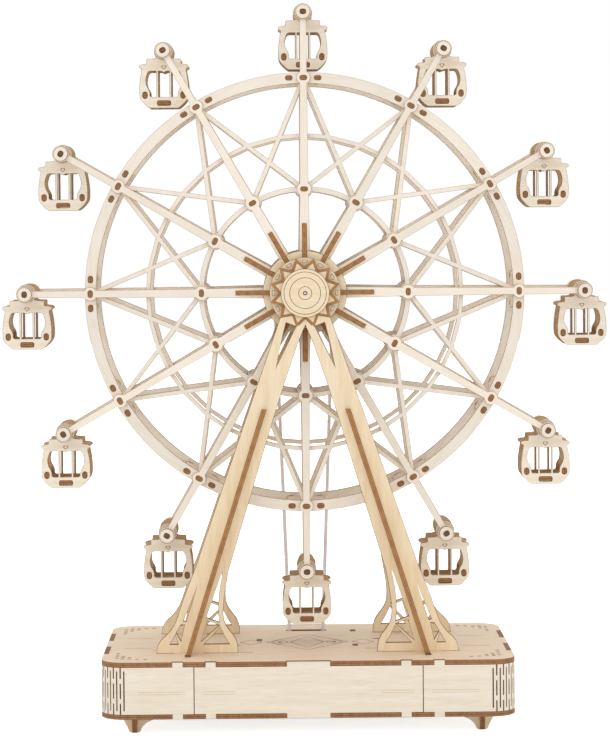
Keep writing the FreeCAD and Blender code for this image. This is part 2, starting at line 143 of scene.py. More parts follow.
def smooth(points, steps=4):
    # A soft line through the given points
    line = []
    for i in range(len(points) - 1):
        before = Vector(points[max(i - 1, 0)])
        start, end = Vector(points[i]), Vector(points[i + 1])
        after = Vector(points[min(i + 2, len(points) - 1)])
        for step in range(steps):
            t = step / steps
            spot = 0.5 * (2 * start + (end - before) * t + (2 * before - 5 * start + 4 * end - after) * t ** 2
                          + (3 * start - before - 3 * end + after) * t ** 3)
            line.append(tuple(spot))
    line.append(tuple(points[-1]))
    return line


# Laser-cut boards

def facing(yFace, side=-1):
    # A board parallel to the wheel; its outer face looks to the front (-1) or to the rear (1)
    return lambda u, v, w: (u, side * (yFace - w), v)


def onHub(yFace, side):
    # The same, with heights counted from the hub
    place = facing(yFace, side)
    return lambda u, v, w: place(u, v + hubZ, w)


def lying(zFace, side=1):
    # A board parallel to the table, with its marked face up (1) or down (-1)
    return lambda u, v, w: (u, v, zFace - side * w)


def windings(loop):
    area = sum(a[0] * b[1] - b[0] * a[1] for a, b in zip(loop, loop[1:] + loop[:1]))
    return loop if area > 0 else list(reversed(loop))


boardLook = {
    "bevel": 0.16, "edgeFall": 0.7,             # width of the rounded edge, and its depth as a share of that
    "mitre": 0.35,                              # limits the inset at sharp points
    "markDeep": 0.14, "lineDeep": 0.05,         # engraved marks and faint scored lines
    "plies": 2.4,                               # thickness that the edge material's plies fill
    "grainStep": 37.7,                          # each board is cut from another place of the sheet
    "softBelow": 32,                            # degrees; faces that meet at less are shaded as one
}
boardCount = [0]


def cutBoard(adds, place, cuts=(), marks=(), guides=(), thick=board, bevel=boardLook["bevel"],
             markDeep=boardLook["markDeep"], upright=False, tone=0.0, paints=(0, 1, 1, 0)):
    # Joins the outlines in adds, takes out cuts, sinks marks into the face, and rounds off every burnt edge
    # place: from across, up and depth to the object; guides: lines along which the flat board may bend
    # paints: the material numbers of face, edge, marks and back
    boardCount[0] += 1
    shift = boardCount[0] * boardLook["grainStep"]
    points, loops, lines = [], [], []
    for loop in list(adds) + list(cuts) + list(marks):
        start = len(points)
        points += [Vector(point) for point in windings(loop)]
        loops.append(list(range(start, len(points))))
    for start, end in guides:
        lines.append((len(points), len(points) + 1))
        points += [Vector(start), Vector(end)]
    flat, _, triangles, _, _, sources = delaunay_2d_cdt(points, lines, loops, 1, 1e-4)
    cutStart, markStart = len(adds), len(adds) + len(cuts)
    kept, directed = [], {}
    for triangle, source in zip(triangles, sources):
        if not any(i < cutStart for i in source) or any(cutStart <= i < markStart for i in source):
            continue
        a, b, c = (flat[i] for i in triangle)
        if (b - a).cross(c - a) < 0:
            triangle = list(reversed(triangle))
        marked = sum(i >= markStart for i in source) % 2 == 1
        kept.append((triangle, marked))
        for k in range(3):
            directed[(triangle[k], triangle[(k + 1) % 3])] = marked
    rim = [(a, b) for a, b in directed if (b, a) not in directed]
    leaving, arriving = {}, {}
    for a, b in rim:
        leaving.setdefault(a, []).append(b)
        arriving.setdefault(b, []).append(a)

    def inset(i):
        if i not in leaving or len(leaving[i]) > 1:
            return flat[i]
        into = (flat[i] - flat[arriving[i][0]]).normalized()
        out = (flat[leaving[i][0]] - flat[i]).normalized()
        first, second = Vector((-into.y, into.x)), Vector((-out.y, out.x))
        reach = (first + second) / max(1 + first.dot(second), boardLook["mitre"])
        return flat[i] + reach * bevel

    fall = bevel * boardLook["edgeFall"]
    levels = {"face": 0.0, "sunk": markDeep, "rimFace": fall, "rimBack": thick - fall, "back": thick}
    verts, grain, faces, kinds, index = [], [], [], [], {}

    def vert(i, level):
        key = (i, level)
        if key not in index:
            spot = flat[i] if level.startswith("rim") else inset(i)
            index[key] = len(verts)
            verts.append(place(spot.x, spot.y, levels[level]))
            along, across = (spot.y, spot.x) if upright else (spot.x, spot.y)
            grain.append((along + shift, across, levels[level] * boardLook["plies"] / thick))
        return index[key]

    for triangle, marked in kept:
        faces.append([vert(i, "sunk" if marked else "face") for i in triangle])
        kinds.append(paints[2] if marked else paints[0])
        faces.append([vert(i, "back") for i in reversed(triangle)])
        kinds.append(paints[3])
        for k in range(3):
            a, b = triangle[k], triangle[(k + 1) % 3]
            if marked and directed.get((b, a)) is False:
                faces.append([vert(a, "face"), vert(b, "face"), vert(b, "sunk"), vert(a, "sunk")])
                kinds.append(paints[2])
    for a, b in rim:
        for upper, lower in (("face", "rimFace"), ("rimFace", "rimBack"), ("rimBack", "back")):
            faces.append([vert(b, upper), vert(a, upper), vert(a, lower), vert(b, lower)])
            kinds.append(paints[1])
    return {"verts": verts, "faces": faces, "kinds": kinds, "grain": grain, "tone": [tone] * len(verts)}


def turnedPart(profile, centre, sides=32):
    # A round part about an axis along y, from pairs of radius and y; both ends are closed
    verts, faces, grain = [], [], []
    x, z = centre
    for radius, y in profile:
        for i in range(sides):
            offset = polar(radius, 360 * i / sides)
            verts.append((x + offset[0], y, z + offset[1]))
            grain.append((y, offset[0], offset[1]))
    for ring in range(len(profile) - 1):
        for i in range(sides):
            j = (i + 1) % sides
            a, b = ring * sides, (ring + 1) * sides
            faces.append([a + i, a + j, b + j, b + i])
    faces.append(list(range(sides)))
    faces.append(list(range(len(verts) - sides, len(verts))))
    return {"verts": verts, "faces": faces, "kinds": [0] * len(faces), "grain": grain,
            "tone": [0.0] * len(verts)}


def block(low, high, kind, chamfer=0.12):
    # A plain board end or tenon with softened edges
    mesh = bmesh.new()
    bmesh.ops.create_cube(mesh, size=1)
    for vertex in mesh.verts:
        vertex.co = [low[k] + (vertex.co[k] + 0.5) * (high[k] - low[k]) for k in range(3)]
    bmesh.ops.bevel(mesh, geom=mesh.edges[:], offset=chamfer, segments=1, affect="EDGES")
    mesh.verts.index_update()
    verts = [tuple(vertex.co) for vertex in mesh.verts]
    faces = [[vertex.index for vertex in face.verts] for face in mesh.faces]
    mesh.free()
    thin = 2 if high[2] - low[2] < high[0] - low[0] else 0       # the plies lie across the thin side
    grain = [(y, x + z, boardLook["plies"] * (vert[thin] - low[thin]) / (high[thin] - low[thin]))
             for vert in verts for x, y, z in [vert]]
    return {"verts": verts, "faces": faces, "kinds": [kind] * len(faces), "grain": grain,
            "tone": [0.0] * len(verts)}


def shifted(part, offset):
    copy = dict(part)
    copy["verts"] = [tuple(a + b for a, b in zip(vert, offset)) for vert in part["verts"]]
    return copy


def turnOutwards(mesh):
    closed = bmesh.new()
    closed.from_mesh(mesh)
    bmesh.ops.recalc_face_normals(closed, faces=closed.faces[:])
    closed.to_mesh(mesh)
    closed.free()


def makeMesh(name, parts, materials):
    verts, faces, kinds, grain, tone = [], [], [], [], []
    for part in parts:
        start = len(verts)
        verts += [(x / 1000, (y + midY) / 1000, z / 1000) for x, y, z in part["verts"]]
        faces += [[i + start for i in face] for face in part["faces"]]
        kinds += part["kinds"]
        grain += part["grain"]
        tone += part["tone"]
    mesh = bpy.data.meshes.new(name)
    mesh.from_pydata(verts, [], faces)
    for attribute, numbers, where, field, values in (
            ("grain", "FLOAT_VECTOR", "POINT", "vector", [value for spot in grain for value in spot]),
            ("tone", "FLOAT", "POINT", "value", tone),
            ("cutEdge", "BOOLEAN", "FACE", "value", [kind == 1 for kind in kinds])):
        mesh.attributes.new(attribute, numbers, where).data.foreach_set(field, values)
    for material in materials:
        mesh.materials.append(material)
    mesh.polygons.foreach_set("material_index", [min(kind, len(materials) - 1) for kind in kinds])
    turnOutwards(mesh)
    mesh.polygons.foreach_set("use_smooth", [True] * len(mesh.polygons))
    mesh.set_sharp_from_angle(angle=math.radians(boardLook["softBelow"]))
    return mesh


def addObject(name, mesh):
    piece = bpy.data.objects.new(name, mesh)
    bpy.context.scene.collection.objects.link(piece)
    return piece


def finishPiece(piece, body, nodes=()):
    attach(piece, body)
    if nodes:
        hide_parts(*nodes)
    return piece


def makePiece(name, parts, materials, body, nodes=()):
    return finishPiece(addObject(name, makeMesh(name, parts, materials)), body, nodes)


# Materials; colours are written as they look, 0 to 255

def paint(colour):
    def linear(value):
        value /= 255
        return value / 12.92 if value <= 0.04045 else ((value + 0.055) / 1.055) ** 2.4
    return (*[linear(value) for value in colour], 1.0)


def addNode(tree, kind, inputs=None, **settings):
    # An input is a plain value, the output that feeds it, or a node whose first output feeds it
    node = tree.nodes.new(kind)
    for name, value in settings.items():
        setattr(node, name, value)
    for socket, value in (inputs or {}).items():
        if isinstance(value, bpy.types.Node):
            value = value.outputs[0]
        if isinstance(value, bpy.types.NodeSocket):
            tree.links.new(value, node.inputs[socket])
        else:
            node.inputs[socket].default_value = value
    return node


def newMaterial(name, roughness):
    material = bpy.data.materials.new(name)
    material.use_nodes = True
    shader = material.node_tree.nodes["Principled BSDF"]
    shader.inputs["Roughness"].default_value = roughness
    return material, material.node_tree, shader


def stretchedNoise(tree, source, stretch, detail):
    mapping = addNode(tree, "ShaderNodeMapping", {"Vector": source, "Scale": stretch})
    noise = addNode(tree, "ShaderNodeTexNoise", {"Vector": mapping, "Scale": 1.0, "Detail": detail})
    return noise.outputs["Fac"]


def colourRamp(tree, source, stops):
    ramp = addNode(tree, "ShaderNodeValToRGB", {"Fac": source})
    elements = ramp.color_ramp.elements
    while len(elements) < len(stops):
        elements.new(0.5)
    for element, (spot, colour) in zip(elements, stops):
        element.position = spot
        element.color = paint(colour)
    return ramp.outputs["Color"]


def mixColours(tree, first, second, share):
    return addNode(tree, "ShaderNodeMix", {"Factor": share, 6: first, 7: second}, data_type="RGBA").outputs[2]


def attributeOf(tree, name, output):
    return addNode(tree, "ShaderNodeAttribute", attribute_name=name).outputs[output]


def grainSource(tree, objectSpace):
    if objectSpace:
        return addNode(tree, "ShaderNodeTexCoord").outputs["Object"]
    return attributeOf(tree, "grain", "Vector")


def toneScale(tree, colour):
    # Each board, and each copy in a ring, is a little lighter or darker
    tones = {0: attributeOf(tree, "tone", "Fac"), 1: attributeOf(tree, "copyTone", "Fac")}
    total = addNode(tree, "ShaderNodeMath", tones, operation="ADD")
    value = addNode(tree, "ShaderNodeMath", {0: total, 1: 1.0}, operation="ADD")
    return addNode(tree, "ShaderNodeHueSaturation", {"Value": value, "Color": colour}).outputs["Color"]


plyLook = {
    # light, middle and dark bands, pores, roughness and bump
    "plain": ((243, 233, 217), (236, 224, 204), (229, 212, 186), (210, 184, 150), 0.62, 0.06),
    "pale": ((245, 236, 224), (239, 228, 211), (231, 216, 194), (212, 188, 158), 0.62, 0.06),
    "warm": ((243, 226, 196), (237, 216, 182), (226, 200, 160), (206, 172, 128), 0.62, 0.06),
    "deck": ((240, 220, 194), (233, 211, 183), (221, 197, 167), (198, 170, 136), 0.62, 0.06),
    "dowel": ((236, 214, 176), (226, 200, 158), (210, 180, 136), (184, 150, 108), 0.5, 0.08),
    # paintedShade: ply darkened to paint the shade inside the cars, on the plates' inner faces, roof, floor
    # and benches
    "paintedShade": ((206, 174, 132), (188, 154, 112), (166, 130, 90), (138, 102, 68), 0.75, 0.06),
    # gold: the band round the front star, burnt side wall together with painted shadow
    "gold": ((184, 136, 80), (164, 116, 64), (136, 92, 48), (100, 66, 34), 0.7, 0.06),
    "tab": ((132, 96, 62), (112, 78, 50), (92, 62, 40), (74, 48, 32), 0.75, 0.06),
}
grainLook = {
    "bands": ((0.03, 0.32, 0.32), 3.0), "fibres": ((0.12, 3.2, 3.2), 5.0), "pores": ((0.5, 7.0, 7.0), 2.0),
    "fibreShare": 0.38, "poreShare": 0.16, "bumpDistance": 0.0003,
}


def plyMaterial(name, kind, objectSpace=False):
    # Sanded face of thin plywood: broad soft bands, fine fibres and a few darker pores along the grain
    light, mid, dark, pore, roughness, strength = plyLook[kind]
    material, tree, shader = newMaterial(name, roughness)
    source = grainSource(tree, objectSpace)
    unit = 1000.0 if objectSpace else 1.0       # Object coordinates are metres, the grain is millimetres
    noises = []
    for layer in ("bands", "fibres", "pores"):
        stretch, detail = grainLook[layer]
        noises.append(stretchedNoise(tree, source, [scale * unit for scale in stretch], detail))
    bands, fibres, pores = noises
    base = colourRamp(tree, bands, [(0.3, dark), (0.48, mid), (0.66, light)])
    fine = colourRamp(tree, fibres, [(0.3, pore), (0.5, mid), (0.7, light)])
    dots = colourRamp(tree, pores, [(0.26, pore), (0.36, light)])
    colour = mixColours(tree, base, fine, grainLook["fibreShare"])
    colour = mixColours(tree, colour, dots, grainLook["poreShare"])
    tree.links.new(toneScale(tree, colour), shader.inputs["Base Color"])
    bump = addNode(tree, "ShaderNodeBump", {"Strength": strength, "Distance": grainLook["bumpDistance"],
                                            "Height": fibres})
    tree.links.new(bump.outputs["Normal"], shader.inputs["Normal"])
    return material


edgeLook = {
    # outer plies, core ply and burnt lines
    "burntEdge": ((164, 116, 70), (130, 86, 48), (80, 50, 28)),
    "paleEdge": ((226, 200, 162), (206, 174, 132), (150, 114, 76)),
    "carEdge": ((200, 164, 114), (170, 130, 84), (96, 64, 40)),
    "goldenEdge": ((176, 126, 72), (150, 102, 56), (100, 64, 34)),
    "finEdge": ((176, 124, 68), (154, 104, 54), (78, 48, 26)),
    "tenonEnd": ((160, 112, 66), (120, 78, 44), (72, 44, 24)),
    "scoredLine": ((224, 206, 174), (224, 206, 174), (216, 194, 158)),
}


def edgeMaterial(name, roughness=0.7, spotShare=0.35):
    # A laser-cut edge: two outer plies, a darker core ply, and a burnt line along each face
    outer, core, scorched = edgeLook[name]
    material, tree, shader = newMaterial(name, roughness)
    source = grainSource(tree, False)
    split = addNode(tree, "ShaderNodeSeparateXYZ", {"Vector": source})
    depth = addNode(tree, "ShaderNodeMath", {0: split.outputs["Z"], 1: boardLook["plies"]},
                    operation="DIVIDE")
    plies = colourRamp(tree, depth, [(0.04, scorched), (0.15, outer), (0.33, outer), (0.38, core),
                                     (0.62, core), (0.67, outer), (0.85, outer), (0.96, scorched)])
    smoke = stretchedNoise(tree, source, (0.5, 0.5, 0.25), 3.0)
    spots = colourRamp(tree, smoke, [(0.3, scorched), (0.6, outer)])
    colour = mixColours(tree, plies, spots, spotShare)
    tree.links.new(toneScale(tree, colour), shader.inputs["Base Color"])
    return material


def steelMaterial():
    material, tree, shader = newMaterial("steelPin", 0.32)
    shader.inputs["Metallic"].default_value = 1.0
    brushed = stretchedNoise(tree, grainSource(tree, True), (300.0, 6000.0, 6000.0), 2.0)
    colour = colourRamp(tree, brushed, [(0.3, (176, 176, 180)), (0.7, (206, 206, 210))])
    tree.links.new(colour, shader.inputs["Base Color"])
    return material


def elasticMaterial():
    material, tree, shader = newMaterial("clearElastic", 0.28)
    cloud = stretchedNoise(tree, grainSource(tree, True), (120.0, 120.0, 40.0), 3.0)
    colour = colourRamp(tree, cloud, [(0.35, (226, 224, 232)), (0.65, (240, 239, 244))])
    tree.links.new(colour, shader.inputs["Base Color"])
    shader.inputs["Subsurface Weight"].default_value = 0.15
    shader.inputs["Coat Weight"].default_value = 0.25
    return material


ply = plyMaterial("plyFace", "plain")
plyInside = plyMaterial("plyFaceInside", "plain", objectSpace=True)
palePly = plyMaterial("palePly", "pale")
warmPly = plyMaterial("warmPly", "warm")
deckPly = plyMaterial("deckPly", "deck")
dowel = plyMaterial("dowelWood", "dowel")
# Darker ply that paints the shade inside the cars
paintedShade = plyMaterial("paintedShadePly", "paintedShade")
goldWallAndShadowPly = plyMaterial("goldWallAndShadowPly", "gold")
tabPly = plyMaterial("tabPly", "tab", objectSpace=True)
burnt, paleEdge, carEdge, golden, finEdge, tenonEnd, scored = [edgeMaterial(name) for name in edgeLook]
steel = steelMaterial()
elastic = elasticMaterial()
print("stage: materials")


# Geometry Nodes: a ring of copies about the hub, and a round belt

ringLook = {"toneSpread": 0.045, "seed": 7}


def newTree(name, inputs):
    tree = bpy.data.node_groups.new(name, "GeometryNodeTree")
    tree.interface.new_socket("Geometry", in_out="INPUT", socket_type="NodeSocketGeometry")
    for socket, kind in inputs.items():
        tree.interface.new_socket(socket, in_out="INPUT", socket_type="NodeSocket" + kind)
    tree.interface.new_socket("Geometry", in_out="OUTPUT", socket_type="NodeSocketGeometry")
    return tree, addNode(tree, "NodeGroupInput").outputs


def ringTree():
    # Turns copies of one twelfth about the hub, gives each its own tone, and paints faces and cut edges
    tree, entry = newTree("ringOfCopies", {
        "Hub": "Vector", "Count": "Int", "Tone spread": "Float", "Seed": "Int", "Face material": "Material",
        "Edge material": "Material"})
    spread = entry["Tone spread"]
    toHub = addNode(tree, "ShaderNodeVectorMath", {0: entry["Hub"], "Scale": -1.0}, operation="SCALE")
    centred = addNode(tree, "GeometryNodeTransform", {"Geometry": entry["Geometry"], "Translation": toHub})
    points = addNode(tree, "GeometryNodePoints", {"Count": entry["Count"]})
    index = addNode(tree, "GeometryNodeInputIndex")
    fraction = addNode(tree, "ShaderNodeMath", {0: index, 1: entry["Count"]}, operation="DIVIDE")
    angle = addNode(tree, "ShaderNodeMath", {0: fraction, 1: 2 * math.pi}, operation="MULTIPLY")
    euler = addNode(tree, "ShaderNodeCombineXYZ", {"Y": angle})
    rotation = addNode(tree, "FunctionNodeEulerToRotation", {0: euler})
    copies = addNode(tree, "GeometryNodeInstanceOnPoints", {"Points": points, "Instance": centred,
                                                            "Rotation": rotation})
    low = addNode(tree, "ShaderNodeMath", {0: spread, 1: -1.0}, operation="MULTIPLY")
    chance = addNode(tree, "FunctionNodeRandomValue", {2: low, 3: spread, "Seed": entry["Seed"]},
                     data_type="FLOAT")
    store = addNode(tree, "GeometryNodeStoreNamedAttribute",
                    {"Geometry": copies, "Name": "copyTone", "Value": chance.outputs[1]},
                    data_type="FLOAT", domain="INSTANCE")
    back = addNode(tree, "GeometryNodeTransform", {"Geometry": store, "Translation": entry["Hub"]})
    real = addNode(tree, "GeometryNodeRealizeInstances", {0: back})
    edge = addNode(tree, "GeometryNodeInputNamedAttribute", {"Name": "cutEdge"}, data_type="BOOLEAN")
    faces = addNode(tree, "GeometryNodeSetMaterial", {"Geometry": real, "Material": entry["Face material"]})
    edges = addNode(tree, "GeometryNodeSetMaterial", {"Geometry": faces, "Selection": edge,
                                                      "Material": entry["Edge material"]})
    addNode(tree, "NodeGroupOutput", {0: edges})
    return tree


def beltTree():
    # A round cord swept along the closed line that it is given
    tree, entry = newTree("roundBelt", {"Radius": "Float", "Sides": "Int", "Material": "Material"})
    path = addNode(tree, "GeometryNodeMeshToCurve", {0: entry["Geometry"]})
    section = addNode(tree, "GeometryNodeCurvePrimitiveCircle", {"Radius": entry["Radius"],
                                                                 "Resolution": entry["Sides"]})
    sweep = addNode(tree, "GeometryNodeCurveToMesh", {"Curve": path, "Profile Curve": section})
    softly = addNode(tree, "GeometryNodeSetShadeSmooth", {"Geometry": sweep})
    real = addNode(tree, "GeometryNodeRealizeInstances", {0: softly})
    coat = addNode(tree, "GeometryNodeSetMaterial", {"Geometry": real, "Material": entry["Material"]})
    addNode(tree, "NodeGroupOutput", {0: coat})
    return tree


def bake(name, mesh, tree, values):
    # Runs a tree on a mesh once and keeps the plain result
    source = addObject(name + "Source", mesh)
    modifier = source.modifiers.new("nodes", "NODES")
    modifier.node_group = tree
    for item in tree.interface.items_tree:
        if item.in_out == "INPUT" and item.name in values:
            modifier[item.identifier] = values[item.name]
    bpy.context.view_layer.update()
    depsgraph = bpy.context.evaluated_depsgraph_get()
    result = bpy.data.meshes.new_from_object(source.evaluated_get(depsgraph), depsgraph=depsgraph)
    source.modifiers.remove(modifier)
    bpy.data.objects.remove(source)
    result.name = name
    return addObject(name, result)


ring = ringTree()


def ringPiece(name, parts, faceMaterial, edge, nodes=()):
    values = {
        "Hub": (0.0, midY / 1000, hubZ / 1000), "Count": carCount, "Tone spread": ringLook["toneSpread"],
        "Seed": ringLook["seed"] + boardCount[0], "Face material": faceMaterial, "Edge material": edge,
    }
    piece = bake(name, makeMesh(name, parts, [faceMaterial, edge]), ring, values)
    return finishPiece(piece, "wheel", nodes)


# Base box

baseLook = {
    "cornerR": 12.0, "cornerSteps": 12, "panelHalf": 55.9, "jointGap": 0.2, "fit": 0.06, "shaftHole": 2.1,
    "centreTab": 10.7, "panelTab": 47.8, "wrapTab": 64.0, "tabWidth": 5.2,
    "sideTab": 21.0, "sideTabLong": 23.0,
    "tabShort": 0.02,                           # the tabs' ends lie this much below the plates' faces
}


def plateOutline():
    points = []
    radius = baseLook["cornerR"]
    for quarter, (signX, signY) in enumerate(((1, 1), (1, -1), (-1, -1), (-1, 1))):
        centre = (signX * (halfX - radius), signY * (halfY - radius))
        points += arc(radius, 90 * quarter, 90 * quarter + 90, baseLook["cornerSteps"], centre)
    return points


def tabNotches():
    fit = baseLook["fit"]
    inner = halfY - board
    notches = []
    for side in (-1, 1):
        edges = sorted((side * (halfY + past), side * (inner - fit)))
        spans = [(0, baseLook["centreTab"])]
        for sign in (-1, 1):
            spans += [(sign * baseLook["panelTab"], baseLook["tabWidth"] / 2)]
            spans += [(sign * baseLook["wrapTab"], baseLook["tabWidth"] / 2)]
            reach = sorted((side * (halfX + past), side * (halfX - board - fit)))
            half = baseLook["sideTabLong"] / 2 + fit
            notches.append(rect(*reach, sign * baseLook["sideTab"] - half, sign * baseLook["sideTab"] + half))
        notches += [rect(x - half - fit, x + half + fit, *edges) for x, half in spans]
    return notches


legLook = {
    "topX": 2.5, "footX": 59.4, "width": 11.6, "tabHalf": 7.7, "bore": 1.55, "bevel": 0.2,
    "finTop": 57.6, "finReach": 12.0, "finTopReach": 2.0,
    "footDarkHalf": 1.5, "footDarkTall": 1.1, "footDarkDeep": 0.15,
    "seam": ((0.2, -13.0), (3.2, -16.0)), "seamWide": 0.3,
    "star": (11.4, 15.3), "goldStar": (13.1, 17.6),             # radii of the valleys and the tips
    "starThick": 0.5, "starBevel": 0.08, "goldShort": 0.1, "goldBevel": 0.1, "starLift": 0.03,
}
deckLook = {
    "beltSlotHalf": 10.6, "beltSlotWide": 5.0, "roundShare": 0.98,
    "ribX": 24.3, "ribTab": 6.0, "ribFit": 0.05, "leftRib": (7.3,), "rightRib": (-10.4, 37.0),
    "lineY": 16.0, "lineFrom": 92.0, "lineTo": 78.0, "lineWide": 0.45,
    "dashHalfX": 0.9, "dashHalfY": 0.75,
    "dashRows": ((94.4, 4, 31.4, 4.9), (91.4, 3, 41.0, 3.8), (88.1, 2, 44.6, 4.0), (84.2, 1, 49.4, 0),
                 (80.2, 1, 50.0, 0)),           # x, how many, first y and pitch
    "loose": ((-30.5, -31.3), (32.5, -21.5)), "looseHalf": 3.5, "looseWide": 0.8,
    "middleBands": ((0, 21.0, 25.0), (0, 8.82, 18.0)),          # x, half width and half depth
    "sideBands": ((13.86, 4.62, 7.5), (28.56, 5.88, 8.5)),
    "sideSpots": ((13.86, 0, 1.5, 2.2), (36.0, 9.0, 3.0, 1.3)),
}


def diamond(halfWide, halfTall, centre=(0, 0)):
    x, y = centre
    return [(x + halfWide, y), (x, y + halfTall), (x - halfWide, y), (x, y - halfTall)]


def diamondBand(half, deep, wide, x):
    # Two nested diamonds leave a thin engraved line between them
    less = wide * 1.5
    return [diamond(half, deep, (x, 0)), diamond(half - less, deep - less, (x, 0))]


def deckMarks():
    look = deckLook
    wide = look["lineWide"]
    marks = []
    for sideY in (-1, 1):
        for sideX in (-1, 1):
            row = sideY * look["lineY"]
            marks.append(bar((sideX * look["lineFrom"], row), (sideX * look["lineTo"], row), wide))
            for column, dashes, first, pitch in look["dashRows"]:
                for dash in range(dashes):
                    x, y = sideX * column, sideY * (first + pitch * dash)
                    marks.append(rect(x - look["dashHalfX"], x + look["dashHalfX"], y - look["dashHalfY"],
                                      y + look["dashHalfY"]))
    for x, y in look["loose"]:
        marks.append(bar((x - look["looseHalf"], y), (x + look["looseHalf"], y), look["looseWide"]))
    for x, half, deep in look["middleBands"]:
        marks += diamondBand(half, deep, wide, x)
    for side in (-1, 1):
        for x, half, deep in look["sideBands"]:
            marks += diamondBand(half, deep, wide, side * x)
        for x, y, half, deep in look["sideSpots"]:
            marks.append(diamond(half, deep, (side * x, side * y)))
    return marks


def legSlots():
    fit = baseLook["fit"]
    half = legLook["tabHalf"] + fit
    slots = []
    for sideX in (-1, 1):
        for sideY in (-1, 1):
            edges = sorted((sideY * (frameFace + fit), sideY * (frameFace - board - fit)))
            x = sideX * legLook["footX"]
            slots.append(rect(x - half, x + half, *edges))
    return slots


def ribSlots():
    look = deckLook
    half, thick = look["ribTab"] / 2 + look["ribFit"], board / 2 + look["ribFit"]
    slots = []
    for x, spots in ((-look["ribX"], look["leftRib"]), (look["ribX"], look["rightRib"])):
        slots += [rect(x - thick, x + thick, y - half, y + half) for y in spots]
    return slots


def makePlates():
    look = deckLook
    slots = tabNotches() + legSlots() + ribSlots()
    wide = look["beltSlotWide"]
    slots.append(roundedRect((0, beltY), 2 * look["beltSlotHalf"], wide, wide / 2 * look["roundShare"], 6))
    deck = cutBoard([plateOutline()], lying(deckTop), slots, deckMarks())
    makePiece("deck", [deck], [deckPly, burnt], "base", ["deck_plate"])
    bottom = cutBoard([plateOutline()], lying(bottomZ, -1), tabNotches())
    makePiece("bottomPlate", [bottom], [ply, tenonEnd], "base", ["bottom_plate"])


def wallTabs(spans):
    short = baseLook["tabShort"]
    tabs = []
    for centre, half in spans:
        tabs.append(rect(centre - half, centre + half, wallTop - past, deckTop - short))
        tabs.append(rect(centre - half, centre + half, bottomZ + short, wallLow + past))
    return tabs


panelLook = {"lineZ": (22.4, 21.2), "innerLine": (36.0, 51.5), "outerLine": (60.5, 83.5), "lineWide": 0.3}


def scoreLines(low, high):
    # Two faint lines along a wall
    return [bar((low, z), (high, z), panelLook["lineWide"]) for z in panelLook["lineZ"]]


def makePanels():
    spans = [(0, baseLook["centreTab"]), (baseLook["panelTab"], baseLook["tabWidth"] / 2),
             (-baseLook["panelTab"], baseLook["tabWidth"] / 2)]
    wall = rect(-baseLook["panelHalf"], baseLook["panelHalf"], wallLow, wallTop)
    low, high = panelLook["innerLine"]
    lines = scoreLines(low, high) + scoreLines(-high, -low)
    front = cutBoard([wall] + wallTabs(spans), facing(halfY), marks=lines, markDeep=boardLook["lineDeep"],
                     paints=(0, 1, 2, 0))
    makePiece("frontPanel", [front], [ply, burnt, scored], "base", ["front_panel"])
    shaftHole = circle(baseLook["shaftHole"], 32, (0, shaftZ))
    rear = cutBoard([wall] + wallTabs(spans), facing(halfY, 1), [shaftHole])
    makePiece("rearPanel", [rear], [ply, burnt], "base", ["rear_panel"])


hingeLook = {
    "slitWide": 0.45, "pitch": 1.8, "columns": 11, "bevel": 0.1, "bendSteps": 12, "roundShare": 0.96,
    "end": 0.08, "open": 0.235, "bridge": 0.103,        # shares of the wall's height
}


def hingeSlits(middle):
    # Columns of slits that let the flat board bend: one long slit, then a broken one, and so on
    look = hingeLook
    height, centreZ = wallTop - wallLow, (wallTop + wallLow) / 2
    half, wide = look["slitWide"] / 2, look["slitWide"]
    long = height * (1 - 2 * look["end"])
    short = height * (1 - 2 * look["open"] - 2 * look["bridge"])
    slits = []
    for column in range(look["columns"]):
        s = middle + (column - (look["columns"] - 1) / 2) * look["pitch"]
        broken = column % 2 == 1
        if broken:
            slits.append(rect(s - half, s + half, wallLow - 3 * past, wallLow + height * look["open"]))
            slits.append(rect(s - half, s + half, wallTop - height * look["open"], wallTop + 3 * past))
        slits.append(roundedRect((s, centreZ), wide, short if broken else long, half * look["roundShare"], 2))
    return slits


def makeWrap(side):
    # One board bent round both corners, drawn flat and then laid along the wall
    radius = baseLook["cornerR"]
    start = baseLook["panelHalf"] + baseLook["jointGap"]
    flatX = halfX - radius - start
    bend = math.pi / 2 * radius
    flatY = 2 * (halfY - radius)
    total = 2 * flatX + 2 * bend + flatY

    def place(s, z, w):
        depth = radius - w
        if s < flatX:
            spot = (start + s, -halfY + w)
        elif s < flatX + bend:
            turn = (s - flatX) / radius
            spot = (halfX - radius + depth * math.sin(turn), -halfY + radius - depth * math.cos(turn))
        elif s < flatX + bend + flatY:
            spot = (halfX - w, -halfY + radius + s - flatX - bend)
        elif s < flatX + 2 * bend + flatY:
            turn = (s - flatX - bend - flatY) / radius
            spot = (halfX - radius + depth * math.cos(turn), halfY - radius + depth * math.sin(turn))
        else:
            spot = (start + total - s, halfY - w)
        return (side * spot[0], spot[1], z)

    corners = (flatX + bend / 2, flatX + bend * 1.5 + flatY)
    slits = [slit for middle in corners for slit in hingeSlits(middle)]
    guides = []
    for middle in corners:
        for step in range(hingeLook["bendSteps"] + 1):
            s = middle - bend / 2 + bend * step / hingeLook["bendSteps"]
            guides.append(((s, wallLow - past), (s, wallTop + past)))
    fromJoint = baseLook["wrapTab"] - start
    spans = [(fromJoint, baseLook["tabWidth"] / 2), (total - fromJoint, baseLook["tabWidth"] / 2)]
    for sign in (-1, 1):
        spans.append((total / 2 + sign * baseLook["sideTab"], baseLook["sideTabLong"] / 2))
    low, high = panelLook["outerLine"]
    wall = cutBoard([rect(0, total, wallLow, wallTop)] + wallTabs(spans), place, slits,
                    scoreLines(low - start, high - start), guides, bevel=hingeLook["bevel"],
                    markDeep=boardLook["lineDeep"], paints=(0, 1, 2, 0))
    end = "right" if side > 0 else "left"
    makePiece(end + "Wrap", [wall], [ply, tenonEnd, scored], "base", [end + "_wrap"])


